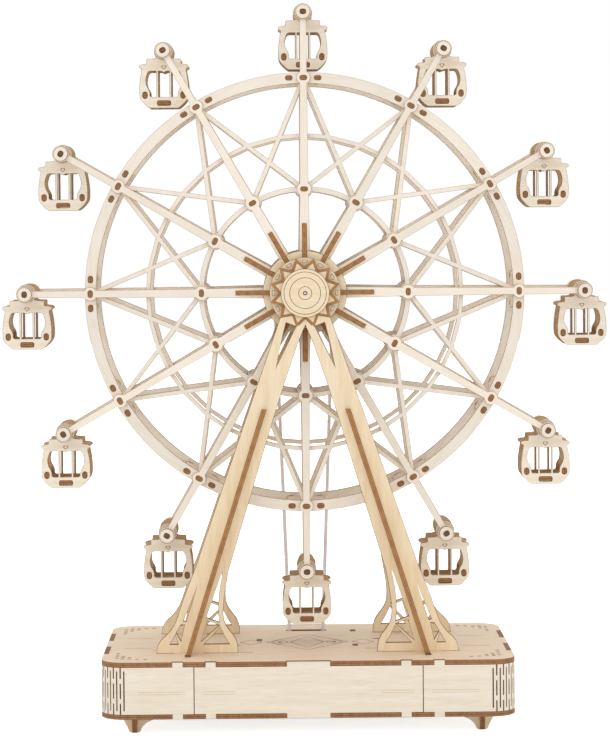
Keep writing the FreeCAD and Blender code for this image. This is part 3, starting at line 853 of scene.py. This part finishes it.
footLook = {
    "inX": 15.95, "inY": 16.0,                  # from the ends and sides of the base to the foot's middle
    "heel": 6.2, "tail": 15.2, "tip": 2.8, "waist": 4.3, "bevel": 0.85, "fit": 0.03,
}


def footOutline():
    look = footLook
    tip, low, waist, end = look["tip"], look["bevel"], look["waist"], look["tail"]
    heel = [(-look["heel"], bottomZ), (-5.2, 6.0), (-waist, 4.2), (-3.4, 2.4), (-tip, low)]
    tail = [(tip, low), (3.5, 2.4), (waist, 3.4), (6.2, 5.0), (9.0, 6.2), (end, bottomZ - 0.5)]
    return smooth(heel) + [(low - tip, 0), (tip - low, 0)] + smooth(tail) + [(end, bottomZ)]


def makeFeet():
    # Each foot is two boards, halved into each other
    look = footLook
    half = board / 2
    slot = half + look["fit"]
    upper = rect(-slot, slot, bottomZ / 2, bottomZ + past)
    lower = rect(-slot, slot, -past, bottomZ / 2)
    for yName, sideY in (("front", -1), ("rear", 1)):
        for xName, sideX in (("left", -1), ("right", 1)):
            x, y = sideX * (halfX - look["inX"]), sideY * (halfY - look["inY"])
            wide = cutBoard([footOutline()], lambda u, v, w: (x - sideX * u, y - half + w, v), [upper])
            deep = cutBoard([footOutline()], lambda u, v, w: (x - half + w, y - sideY * u, v), [lower])
            end = yName.capitalize() + xName.capitalize()
            node = yName + "_" + xName
            makePiece("footWide" + end, [wide], [warmPly, burnt], "base", ["foot_wide_" + node])
            makePiece("footDeep" + end, [deep], [warmPly, tenonEnd], "base", ["foot_deep_" + node])


# A-frames; heights count from the hub

legSlope = (legLook["footX"] - legLook["topX"]) / deckDrop


def legX(drop):
    return legLook["topX"] + legSlope * drop


def aboveDeck(*points):
    return [(x, z - deckDrop) for x, z in points]


def legOutline():
    half = legLook["width"] / 2 * math.sqrt(1 + legSlope ** 2)
    outer = aboveDeck((55.8, 42.2), (59.0, 34.2), (61.6, 27.5), (63.4, 22.0), (65.0, 17.4), (66.9, 13.4),
                      (69.6, 9.9), (72.7, 7.0), (74.6, 4.0), (75.3, 0))
    inner = aboveDeck((34.7, 0), (34.9, 4.0), (36.2, 7.8), (39.0, 11.6), (41.1, 15.1), (41.9, 19.5),
                      (41.6, 26.0), (40.5, 33.0), (39.1, 41.0))
    top = [(legX(60) - half, -60), (11.0, -46.2), (3.5, -24.2), (0.0, -15.9), (0.0, -9.0), (7.0, -8.0)]
    return [(legX(12) + half, -12)] + smooth(outer) + smooth(inner) + top


def legOpenings():
    return [
        [(4.6, -16.5), (9.6, -14.6), (11.1, -20.5), (12.6, -27.0), (14.9, -37.6)],
        aboveDeck((42.1, 40.9), (43.7, 32.0), (44.4, 25.0), (44.5, 19.5), (44.0, 15.4), (50.4, 17.7)),
        aboveDeck((50.0, 16.1), (43.9, 13.9), (53.1, 5.7)),
        aboveDeck((51.6, 4.5), (39.0, 4.5), (41.2, 8.0), (43.6, 13.0)),
        aboveDeck((54.4, 34.6), (58.2, 24.5), (61.7, 16.2), (60.5, 15.7), (57.6, 24.5)),
        aboveDeck((61.3, 14.3), (63.1, 14.2), (65.5, 10.2), (63.1, 6.0)),
        aboveDeck((65.9, 9.4), (68.6, 4.5), (64.4, 4.5)),
    ]


def starOutline(valley, tip):
    points = []
    for i in range(carCount):
        points += [polar(valley, i * stepAngle), polar(tip, (i + 0.5) * stepAngle)]
    return points


def frameBoards(side):
    # The frame, a golden star laid on it, and a smaller pale star that leaves only the golden edge in sight;
    # that golden band is the star's burnt side wall together with painted shadow beside it
    look = legLook
    tab = rect(look["footX"] - look["tabHalf"], look["footX"] + look["tabHalf"],
               -deckDrop - board + baseLook["tabShort"], -deckDrop + past / 2)
    legs = [legOutline(), tab]
    openings = legOpenings()
    seams = [bar(*look["seam"], look["seamWide"])]
    for loops in (legs, openings, seams):
        loops += [mirrored(loop) for loop in loops]
    bore = circle(look["bore"], 32)
    star, goldStar = starOutline(*look["star"]), starOutline(*look["goldStar"])
    place = onHub(frameFace, side)
    lift = look["starLift"]
    return [
        cutBoard([star] + legs, place, openings + [bore], seams, bevel=look["bevel"], upright=True),
        # Its golden face is the star's burnt wall and painted shadow round the pale star
        cutBoard([goldStar], lambda u, v, w: place(u, v, w - lift), [bore], thick=board - look["goldShort"],
                 bevel=look["goldBevel"], paints=(2, 1, 1, 2)),
        cutBoard([star], lambda u, v, w: place(u, v, w - 2 * lift), [bore], thick=look["starThick"],
                 bevel=look["starBevel"]),
    ]


def legFin(side, sideX):
    look = legLook
    half = board / 2 * math.sqrt(1 + legSlope ** 2)
    top, reach = look["finTop"], look["finReach"]
    outline = [(top, 0), (top, look["finTopReach"]), (deckDrop, reach), (deckDrop, 0)]

    def place(drop, reach, w):
        return (sideX * legX(drop) - half + w, side * (frameFace + reach), hubZ - drop)
    return cutBoard([outline], place, thick=2 * half)


def finFootDark(side, sideX):
    # A dark block at the lower end of a leg fin, where it stands on the deck
    look = legLook
    x, y = sideX * look["footX"], side * (frameFace + look["finReach"])
    half, deep = look["footDarkHalf"], look["footDarkDeep"]
    low, high = (x - half, y - deep, deckTop), (x + half, y + deep, deckTop + look["footDarkTall"])
    return block(low, high, kind=2, chamfer=0.05)


def makeFrames():
    for yName, side in (("front", -1), ("rear", 1)):
        makePiece(yName + "Frame", frameBoards(side), [warmPly, burnt, goldWallAndShadowPly], "base", ["frame_" + yName])
        for xName, sideX in (("left", -1), ("right", 1)):
            name = "legFin" + yName.capitalize() + xName.capitalize()
            makePiece(name, [legFin(side, sideX), finFootDark(side, sideX)], [warmPly, golden, tabPly], "base",
                      ["leg_fin_%s_%s" % (yName, xName)])


capLook = {"radius": 12.0, "rings": (3.25, 7.65, 10.5), "lineWide": 0.28, "hole": 0.95}


def makeCap():
    rings = []
    for radius in capLook["rings"]:
        rings += [circle(radius + capLook["lineWide"] / 2, 64), circle(radius - capLook["lineWide"] / 2, 64)]
    hole = circle(capLook["hole"], 24)
    cap = cutBoard([circle(capLook["radius"], 72)], onHub(frameFace + board, -1), [hole], rings)
    makePiece("hubCap", [cap], [warmPly, burnt], "base", ["front_cap"])


makePlates()
makePanels()
for side in (-1, 1):
    makeWrap(side)
makeFeet()
makeFrames()
makeCap()
for name, material in (("left_rib", tabPly), ("right_rib", tabPly), ("bearing_plate", plyInside)):
    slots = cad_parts[name].material_slots
    for slot in slots:
        slot.material = material
    if not slots:
        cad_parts[name].data.materials.append(material)
print("stage: base and frames")


# Wheel; one twelfth is drawn straight up from the hub

wheelLook = {
    "rimOuter": 110.0, "rimWidth": 5.5, "midR": 78.5, "midWidth": 2.0, "innerR": 51.7, "innerWidth": 2.5,
    "diagonal": 2.2, "gusset": 4.4, "sideX": 7.2,
    "spokeStart": 12.4, "hubWidth": 5.8, "midSpoke": 4.2, "rimSpoke": 3.5, "endSpoke": 3.2,
    "innerBoss": 3.6, "rimBoss": 3.4, "eye": 4.2,
    "sideSlot": (3.6, 2.5, 1.1), "innerSlot": (3.7, 2.3, 1.0),  # slots and pins: width, height and corner
    "rimSlot": (3.7, 2.4, 1.05), "pin": (3.0, 2.5, 1.05), "pinHoleCorner": 1.1,
    "eyeFit": 0.1, "washerFit": 0.08,
    "finStart": 16.0, "finEnd": 34.5, "finThick": 2.1, "finFit": 0.03, "finTuck": 0.8,
    "hubDisc": 20.9, "endDisc": 17.6, "bore": 1.5,
    "ovalR": 15.7, "ovalLong": 2.9, "ovalTall": 1.6, "ovalCorner": 0.55, "ovalLine": 0.4,
    "rimSpacer": 18.5, "innerSpacer": 9.0, "spacerThick": 0.9, "tenonHalf": 1.75, "sideTenonHalf": 1.7,
    "tenonShort": 0.1, "washer": 3.55, "stackR": 4.3, "stackDiscs": 4,
    "bevel": 0.15, "smallBevel": 0.12, "finBevel": 0.1, "pinBevel": 0.2, "trussTone": -0.03,
}
rimNode = wheelLook["rimOuter"] - wheelLook["rimWidth"] / 2


def diagonalAngle(radius):
    # Where a diagonal passes a radius, in degrees from its rim node
    start, end = Vector(polar(rimNode, 0)), Vector(polar(wheelLook["innerR"], stepAngle))
    run = end - start
    square, half = run.dot(run), start.dot(run)
    share = (-half - math.sqrt(half ** 2 - square * (start.dot(start) - radius ** 2))) / square
    spot = start + run * share
    return math.degrees(math.atan2(spot.x, spot.y))


def trussSector(side):
    look = wheelLook
    bend = diagonalAngle(look["midR"])
    reach = 2 * rimNode
    adds = [band(look["rimOuter"], look["rimOuter"] - look["rimWidth"], 0, stepAngle, 10)]
    midHalf, innerHalf = look["midWidth"] / 2, look["innerWidth"] / 2
    for start, end in ((0, bend), (bend, stepAngle - bend), (stepAngle - bend, stepAngle)):
        adds.append(bar(polar(look["midR"], start), polar(look["midR"], end), look["midWidth"]))
    adds += [circle(midHalf, 12, polar(look["midR"], angle)) for angle in (bend, stepAngle - bend)]
    adds.append(band(look["innerR"] + innerHalf, look["innerR"] - innerHalf, 0, stepAngle, 8))
    for start, end in ((0, stepAngle), (stepAngle, 0)):
        adds.append(bar(polar(rimNode, start), polar(look["innerR"], end), look["diagonal"]))
        adds.append(circle(look["gusset"], 28, polar(look["innerR"], start)))
    cuts = [[(0, -reach), (0, reach), (-reach, reach), (-reach, -reach)]]
    cuts.append(turned([(0, -reach), (reach, -reach), (reach, reach), (0, reach)], stepAngle))
    for angle, x in ((0, look["sideX"]), (stepAngle, -look["sideX"])):
        cuts.append(turned(roundedRect((x, rimNode), *look["sideSlot"]), angle))
    return cutBoard(adds, onHub(trussFace, side), cuts, bevel=look["bevel"], tone=look["trussTone"])


def finHalf():
    return wheelLook["finThick"] / 2 + wheelLook["finFit"]


def pinHole(fit):
    wide, tall, _ = wheelLook["pin"]
    return roundedRect((0, pivotR), wide + fit, tall + fit, wheelLook["pinHoleCorner"], 5)


def spokeBoard(side):
    look = wheelLook
    stations = ((look["spokeStart"], look["hubWidth"]), (look["innerR"], look["midSpoke"]),
                (rimNode, look["rimSpoke"]), (pivotR, look["endSpoke"]))
    adds = [bar(polar(start, 0), polar(end, 0), startWide, endWide)
            for (start, startWide), (end, endWide) in zip(stations, stations[1:])]
    adds += [circle(look["innerBoss"], 32, (0, look["innerR"])), circle(look["rimBoss"], 32, (0, rimNode)),
             circle(look["eye"], 36, (0, pivotR))]
    cuts = [
        rect(-finHalf(), finHalf(), look["finStart"], look["finEnd"]),
        roundedRect((0, look["innerR"]), *look["innerSlot"]),
        roundedRect((0, rimNode), *look["rimSlot"]),
        pinHole(look["eyeFit"]),
    ]
    return cutBoard(adds, onHub(spokeFace, side), cuts, bevel=look["bevel"], upright=True)


def hubFin():
    look = wheelLook
    outline = [(-endDiscFace + board, look["finStart"]), (-endDiscFace + board, look["endDisc"]),
               (-hubDiscFace + board - look["finTuck"], look["finEnd"])]
    outline += [(-u, v) for u, v in reversed(outline)]
    thick = look["finThick"]
    return cutBoard([outline], lambda u, v, w: (w - thick / 2, u, v + hubZ), thick=thick,
                    bevel=look["finBevel"])


def spacerBoard(radius, long, sideSlots):
    # A cross board with its tenons through the truss, and its middle one through the spoke as well
    look = wheelLook
    inner, short = trussFace - board, look["tenonShort"]
    outline = [rect(-long / 2, long / 2, -inner, inner),
               rect(-look["tenonHalf"], look["tenonHalf"], -spokeFace + short, spokeFace - short)]
    if sideSlots:
        half = look["sideTenonHalf"]
        for spot in (-look["sideX"], look["sideX"]):
            outline.append(rect(spot - half, spot + half, -trussFace + short, trussFace - short))
    depth = board * look["spacerThick"]
    return cutBoard(outline, lambda u, v, w: (u, v, radius + depth / 2 - w + hubZ), thick=depth,
                    bevel=look["smallBevel"])


def washer(side, radius, yOut):
    look = wheelLook
    return cutBoard([circle(radius, 30, (0, pivotR))], onHub(yOut, side), [pinHole(look["washerFit"])],
                    bevel=look["smallBevel"])


def discFace(yFace, side, radius, slots=(), marks=()):
    bore = circle(wheelLook["bore"], 24)
    return cutBoard([circle(radius, 72)], onHub(yFace, side), [bore, *slots], marks)


def makeWheel():
    look = wheelLook
    turns = [i * stepAngle for i in range(carCount)]
    slot = rect(-finHalf(), finHalf(), look["finStart"], look["hubDisc"] + 2 * past)
    ovals = [roundedRect((0, look["ovalR"]), look["ovalLong"] - less, look["ovalTall"] - less,
                         look["ovalCorner"], 3) for less in (0, look["ovalLine"])]
    for name, side in (("Front", -1), ("Rear", 1)):
        low = name.lower()
        ringPiece("truss" + name, [trussSector(side)], palePly, paleEdge, ["truss_" + low])
        ringPiece("spokes" + name, [spokeBoard(side)], palePly, paleEdge, ["spokes_" + low])
        ringPiece("pinWashers" + name, [washer(side, look["washer"], hubDiscFace)], ply, burnt)
        stack = [washer(side, look["stackR"], trussFace - disc * board) for disc in range(look["stackDiscs"])]
        ringPiece("spacerDiscs" + name, stack, ply, paleEdge)
        disc = discFace(hubDiscFace, side, look["hubDisc"], [turned(slot, turn) for turn in turns])
        makePiece("hubDisc" + name, [disc], [warmPly, carEdge], "wheel", ["hub_disc_" + low])
        marks = [turned(oval, turn) for turn in turns for oval in ovals]
        disc = discFace(endDiscFace, side, look["endDisc"], marks=marks)
        makePiece("endDisc" + name, [disc], [warmPly, carEdge], "wheel", ["end_disc_" + low])
    ringPiece("hubFins", [hubFin()], ply, finEdge, ["hub_fins"])
    ringPiece("rimSpacers", [spacerBoard(rimNode, look["rimSpacer"], True)], ply, tenonEnd, ["rim_spacers"])
    ringPiece("innerSpacers", [spacerBoard(look["innerR"], look["innerSpacer"], False)], ply, tenonEnd,
              ["inner_spacers"])
    pinHalf = hubDiscFace - look["tenonShort"]
    pin = cutBoard([roundedRect((0, pivotR), *look["pin"], 5)], onHub(pinHalf, -1), thick=2 * pinHalf,
                   bevel=look["pinBevel"])
    ringPiece("carPins", [pin], tenonEnd, tenonEnd, ["car_pins"])


axleLook = {
    "radius": 1.5, "endRound": 0.3, "tipR": 0.85, "tipFlat": 0.7, "tipSink": 0.15, "tipShoulder": 0.4,
}


def makeAxle():
    # The slim tip at the front stands in the cap's hole
    look = axleLook
    low, high = nodeY("axle")
    radius, tip, inCap = look["radius"], look["tipR"], low - board
    less = look["endRound"]
    profile = [(tip * look["tipFlat"], inCap + look["tipSink"]), (tip, inCap + look["tipShoulder"]),
               (tip, low), (radius, low), (radius, high - less), (radius - less, high)]
    makePiece("axle", [turnedPart(profile, (0, hubZ))], [steel], "wheel", ["axle"])


pulleyLook = {"flange": 1.6, "half": 2.85, "lip": 1.25, "bevel": 0.12}
beltLook = {
    "topR": 15.4, "lowR": 8.2, "width": 1.9, "sides": 12, "topSteps": 28, "lowSteps": 20, "longest": 12,
}


def makePulley(name, node, centreZ, lineR, bore, body):
    # Two flanges and the smaller disc between them that the belt runs on
    flange, half, lip = pulleyLook["flange"], pulleyLook["half"], pulleyLook["lip"]
    centre = (0, centreZ)
    discs = ((beltY + half, lineR + lip, flange), (beltY - half + flange, lineR + lip, flange),
             (beltY + half - flange, lineR - lip, 2 * (half - flange)))
    parts = [cutBoard([circle(radius, 56, centre)], facing(outer, 1), [circle(bore, 24, centre)], thick=thick,
                      bevel=pulleyLook["bevel"]) for outer, radius, thick in discs]
    makePiece(name, parts, [ply, burnt], body, [node])


def makeBelt():
    look = beltLook
    lean = math.degrees(math.asin((look["topR"] - look["lowR"]) / (hubZ - shaftZ)))
    path = arc(look["topR"], -90 - lean, 90 + lean, look["topSteps"], (0, hubZ))
    path += arc(look["lowR"], 90 + lean, 270 - lean, look["lowSteps"], (0, shaftZ))
    dense = []
    for start, end in zip(path, path[1:] + path[:1]):
        start, end = Vector(start), Vector(end)
        pieces = max(1, round((end - start).length / look["longest"]))
        dense += [tuple(start.lerp(end, k / pieces)) for k in range(pieces)]
    mesh = bpy.data.meshes.new("beltLine")
    verts = [(x / 1000, (beltY + midY) / 1000, z / 1000) for x, z in dense]
    mesh.from_pydata(verts, [(i, (i + 1) % len(verts)) for i in range(len(verts))], [])
    piece = bake("belt", mesh, beltTree(), {"Radius": look["width"] / 2000, "Sides": look["sides"],
                                           "Material": elastic})
    turnOutwards(piece.data)
    finishPiece(piece, "base", ["belt"])


crankLook = {
    "armHalf": 4.0, "armLong": 15.0, "shaftR": 2.0, "shaftRound": 0.2,
    "knobR": 4.0, "neckR": 2.6, "knobSteps": 16, "knobLean": 1.15,
    "nearRim": (0.3, 0.25), "farRim": (0.4, 0.35),      # rounding of the knob's ends, inwards and along
}


def makeCrank():
    look = crankLook
    radius, less = look["shaftR"], look["shaftRound"]
    low, high = nodeY("crank_shaft")
    profile = [(radius - less, low), (radius, low + less), (radius, high - less), (radius - less, high)]
    shaft = turnedPart(profile, (0, shaftZ))
    makePiece("crankShaft", [shaft], [dowel], "crank", ["crank_shaft"])
    armY = nodeY("crank_arm")[1]
    end = (0, shaftZ - look["armLong"])
    half = look["armHalf"]
    arm = cutBoard([rect(-half, half, end[1], shaftZ), circle(half, 48, end), circle(half, 48, (0, shaftZ))],
                   facing(armY, 1), [circle(radius, 32, (0, shaftZ))], upright=True)
    makePiece("crankArm", [arm], [ply, burnt], "crank", ["crank_arm"])
    start, stop = nodeY("crank_knob")
    neck, swell = look["neckR"], look["knobR"] - look["neckR"]
    profile = [(neck - look["nearRim"][0], start)]
    for step in range(look["knobSteps"]):
        share = step / look["knobSteps"]
        y = max(start + (stop - start) * share, start + look["nearRim"][1])
        profile.append((neck + swell * math.sin(math.pi * share ** look["knobLean"]), y))
    profile += [(neck, stop - look["farRim"][1]), (neck - look["farRim"][0], stop)]
    makePiece("crankKnob", [turnedPart(profile, end, 40)], [dowel], "crank", ["crank_knob"])


makeWheel()
makeAxle()
makePulley("wheelPulley", "wheel_pulley", hubZ, beltLook["topR"], axleLook["radius"], "wheel")
makePulley("drivePulley", "drive_pulley", shaftZ, beltLook["lowR"], crankLook["shaftR"], "crank")
makeBelt()
makeCrank()
print("stage: wheel and drive")


# Cars; heights count from the pivot

carLook = {
    "eyeR": 4.8, "mullionX": 3.3, "mullionWide": 1.0, "heart": 1.25, "heartInner": 0.66, "heartZ": -7.7,
    "eyeHole": (4.56, 4.56, 2.2), "floorHole": (6.75, 2.5, 0.7),        # width, height and corner
    "floorHoleZ": -25.7, "sideHole": (2.4, 3.4, 1.1), "sideX": 9.55, "sideZ": -21.75,
    "boardHalf": 8.5, "roofZ": -7.6, "floorZ": -25.5, "floorTenon": 3.3,
    "bench": (-23.4, -19.4), "benchTenon": (-23.3, -20.2), "tenonFit": 0.05, "sink": 0.12, "toneStep": 0.009,
}


def heartLoop(size, z):
    points = []
    for i in range(28):
        t = 2 * math.pi * i / 28
        x = 16 * math.sin(t) ** 3
        y = 13 * math.cos(t) - 5 * math.cos(2 * t) - 2 * math.cos(3 * t) - math.cos(4 * t)
        points.append((x * size / 16, z + y * size / 16))
    return points


def bothSides(right):
    # Adds the left side to an outline's right side, without doubling what lies on the middle line
    return right + [(-x, z) for x, z in reversed(right) if x > 0.01]


def carOutline():
    right = arc(carLook["eyeR"], 0, 128, 12)
    right += [(5.2, -3.45), (8.2, -3.5)] + arc(0.6, 10, 90, 3, (8.1, -4.1)) + [(8.7, -5.9)]
    right += smooth([(9.2, -6.1), (11.2, -6.3), (12.1, -6.7), (12.48, -7.3), (12.1, -8.0), (11.4, -8.3)], 3)
    right += smooth([(11.1, -9.0), (11.7, -12.0), (12.2, -16.0), (12.35, -19.5), (12.1, -22.8), (10.9, -24.9),
                     (8.9, -27.0), (7.4, -28.1)], 4)
    right.append((6.8, -carDrop))
    return bothSides(right)


def carWindow():
    right = smooth([(0.0, -10.3), (0.9, -9.9), (1.8, -9.6)], 3)
    right += smooth([(6.9, -9.6), (7.9, -10.1), (8.7, -12.0), (9.1, -14.5), (8.7, -17.0), (7.6, -19.0),
                     (7.1, -20.6), (7.1, -21.9), (6.4, -22.7)])
    return bothSides(right)


def clipped(loop, left, right):
    # The part of an outline between two upright lines
    for limit, sign in ((left, 1), (right, -1)):
        kept = []
        for (ax, ay), (bx, by) in zip(loop, loop[1:] + loop[:1]):
            insideA, insideB = (ax - limit) * sign >= 0, (bx - limit) * sign >= 0
            if insideA:
                kept.append((ax, ay))
            if insideA != insideB:
                share = (limit - ax) / (bx - ax)
                kept.append((limit, ay + (by - ay) * share))
        loop = kept
    return loop


def carPlate(side):
    # The window is cut as three openings, which leaves its two bars standing
    look = carLook
    cuts = [roundedRect((0, 0), *look["eyeHole"], 6),
            roundedRect((0, look["floorHoleZ"]), *look["floorHole"], 3)]
    cuts += [roundedRect((x, look["sideZ"]), *look["sideHole"]) for x in (-look["sideX"], look["sideX"])]
    half, outside = look["mullionWide"] / 2, 20
    near, far = look["mullionX"] - half, look["mullionX"] + half
    for left, right in ((-outside, -far), (-near, near), (far, outside)):
        cuts.append(clipped(carWindow(), left, right))
    marks = [heartLoop(look["heart"] * share, look["heartZ"]) for share in (1.0, look["heartInner"])]
    # The plate's back, its inner face, takes material 2: ply darkened as painted shade inside the car
    return cutBoard([carOutline()], facing(carFace, side), cuts, marks, paints=(0, 1, 1, 2))


def carParts():
    # Two side plates, roof, floor and benches (material 2, ply darkened as painted shade inside the car), and
    # their tenons' ends in the plates (material 3)
    look = carLook
    inner, face = carFace - board, carFace - look["sink"]
    half, wide = board / 2, look["boardHalf"]
    roofZ, floorZ, tenon = look["roofZ"], look["floorZ"], look["floorTenon"]
    parts = [
        carPlate(-1),
        carPlate(1),
        block((-wide, -inner, roofZ - half), (wide, inner, roofZ + half), 2),
        block((-wide, -inner, floorZ - half), (wide, inner, floorZ + half), 2),
        block((-tenon, -face, floorZ - half), (tenon, face, floorZ + half * 0.95), 3),
    ]
    slim = half - look["tenonFit"]
    for x in (-look["sideX"], look["sideX"]):
        low, high = look["bench"]
        parts.append(block((x - half, -inner, low), (x + half, inner, high), 2))
        low, high = look["benchTenon"]
        parts.append(block((x - slim, -face, low), (x + slim, face, high), 3, 0.3))
    return parts


def makeCars():
    parts = carParts()
    for index in range(carCount):
        x, z = polar(pivotR, index * stepAngle, (0, hubZ))
        tone = (index * 5 % 7 - 3) * carLook["toneStep"]        # the cars differ a little, in no order
        copies = [shifted(part, (x, 0, z)) for part in parts]
        for copy in copies:
            copy["tone"] = [tone] * len(copy["verts"])
        number = "%02d" % (index + 1)
        # Material 2 is ply darkened as painted shade inside the car
        makePiece("car" + number, copies, [ply, carEdge, paintedShade, tenonEnd], "car_" + number,
                  ["gondola_" + number])


makeCars()
print("stage: cars")


# Studio; lengths are metres here

studioLook = {
    "world": 0.95, "floorHalf": 4.0, "floorGrey": 0.88, "floorGlow": 0.75, "lampAim": (0, 0, 0.18),
    "lamps": (("key", (-0.9, -1.6, 1.5), 1.4, 5.0), ("fill", (1.3, -1.2, 0.9), 1.2, 2.0)),   # size and power
}
cameraLook = {
    "spot": (-0.015, -1.393, 0.2556), "aim": (0.0003, -0.008, 0.2148), "lens": 133.0, "sensor": 36.0,
    "roll": -0.43, "shift": -0.1023,
}


def placeAt(name, data, spot):
    holder = bpy.data.objects.new(name, data)
    bpy.context.scene.collection.objects.link(holder)
    holder.location = spot
    return holder


def aimed(spot, aim):
    return (Vector(aim) - Vector(spot)).to_track_quat("-Z", "Y")


def seenDirectly(tree):
    # 1 for what the camera sees straight, in a mirror or through a clear piece, and 0 for what only lights
    rays = addNode(tree, "ShaderNodeLightPath").outputs
    seen = addNode(tree, "ShaderNodeMath", {0: rays["Is Camera Ray"], 1: rays["Is Glossy Ray"]},
                   operation="ADD", use_clamp=True)
    return addNode(tree, "ShaderNodeMath", {0: seen, 1: rays["Is Transmission Ray"]},
                   operation="ADD", use_clamp=True)


def floorMaterial():
    material, tree, shader = newMaterial("studioFloor", 0.9)
    shader.inputs["Base Color"].default_value = (*[studioLook["floorGrey"]] * 3, 1.0)
    shader.inputs["Specular IOR Level"].default_value = 0.0
    shader.inputs["Emission Color"].default_value = (1.0, 1.0, 1.0, 1.0)
    glow = addNode(tree, "ShaderNodeMath", {0: seenDirectly(tree), 1: studioLook["floorGlow"]},
                   operation="MULTIPLY")
    tree.links.new(glow.outputs[0], shader.inputs["Emission Strength"])
    return material


def makeWorld():
    # White where it is seen, a little darker where it lights the toy
    world = bpy.data.worlds.new("studio")
    bpy.context.scene.world = world
    world.use_nodes = True
    sky = world.node_tree.nodes["Background"]
    sky.inputs["Color"].default_value = (1.0, 1.0, 1.0, 1.0)
    level = addNode(world.node_tree, "ShaderNodeMapRange", {"To Min": studioLook["world"], "To Max": 1.0,
                                                            "Value": seenDirectly(world.node_tree)})
    world.node_tree.links.new(level.outputs["Result"], sky.inputs["Strength"])


def makeStudio():
    makeWorld()
    for name, spot, size, power in studioLook["lamps"]:
        lamp = bpy.data.lights.new(name, "AREA")
        lamp.energy = power
        lamp.size = size
        placeAt(name, lamp, spot).rotation_euler = aimed(spot, studioLook["lampAim"]).to_euler()
    far = studioLook["floorHalf"]
    mesh = bpy.data.meshes.new("floor")
    mesh.from_pydata([(-far, -far, 0), (far, -far, 0), (far, far, 0), (-far, far, 0)], [], [(0, 1, 2, 3)])
    mesh.materials.append(floorMaterial())
    addObject("floor", mesh)


def makeCamera():
    look = cameraLook
    camera = bpy.data.cameras.new("camera")
    camera.lens = look["lens"]
    camera.sensor_width = look["sensor"]
    camera.shift_y = look["shift"]
    holder = placeAt("camera", camera, look["spot"])
    turn = aimed(look["spot"], look["aim"]).to_matrix().to_4x4()
    holder.rotation_euler = (turn @ Matrix.Rotation(math.radians(look["roll"]), 4, "Z")).to_euler()
    bpy.context.scene.camera = holder
    bpy.context.scene.view_settings.view_transform = "Standard"


makeStudio()
makeCamera()
print("stage: studio")
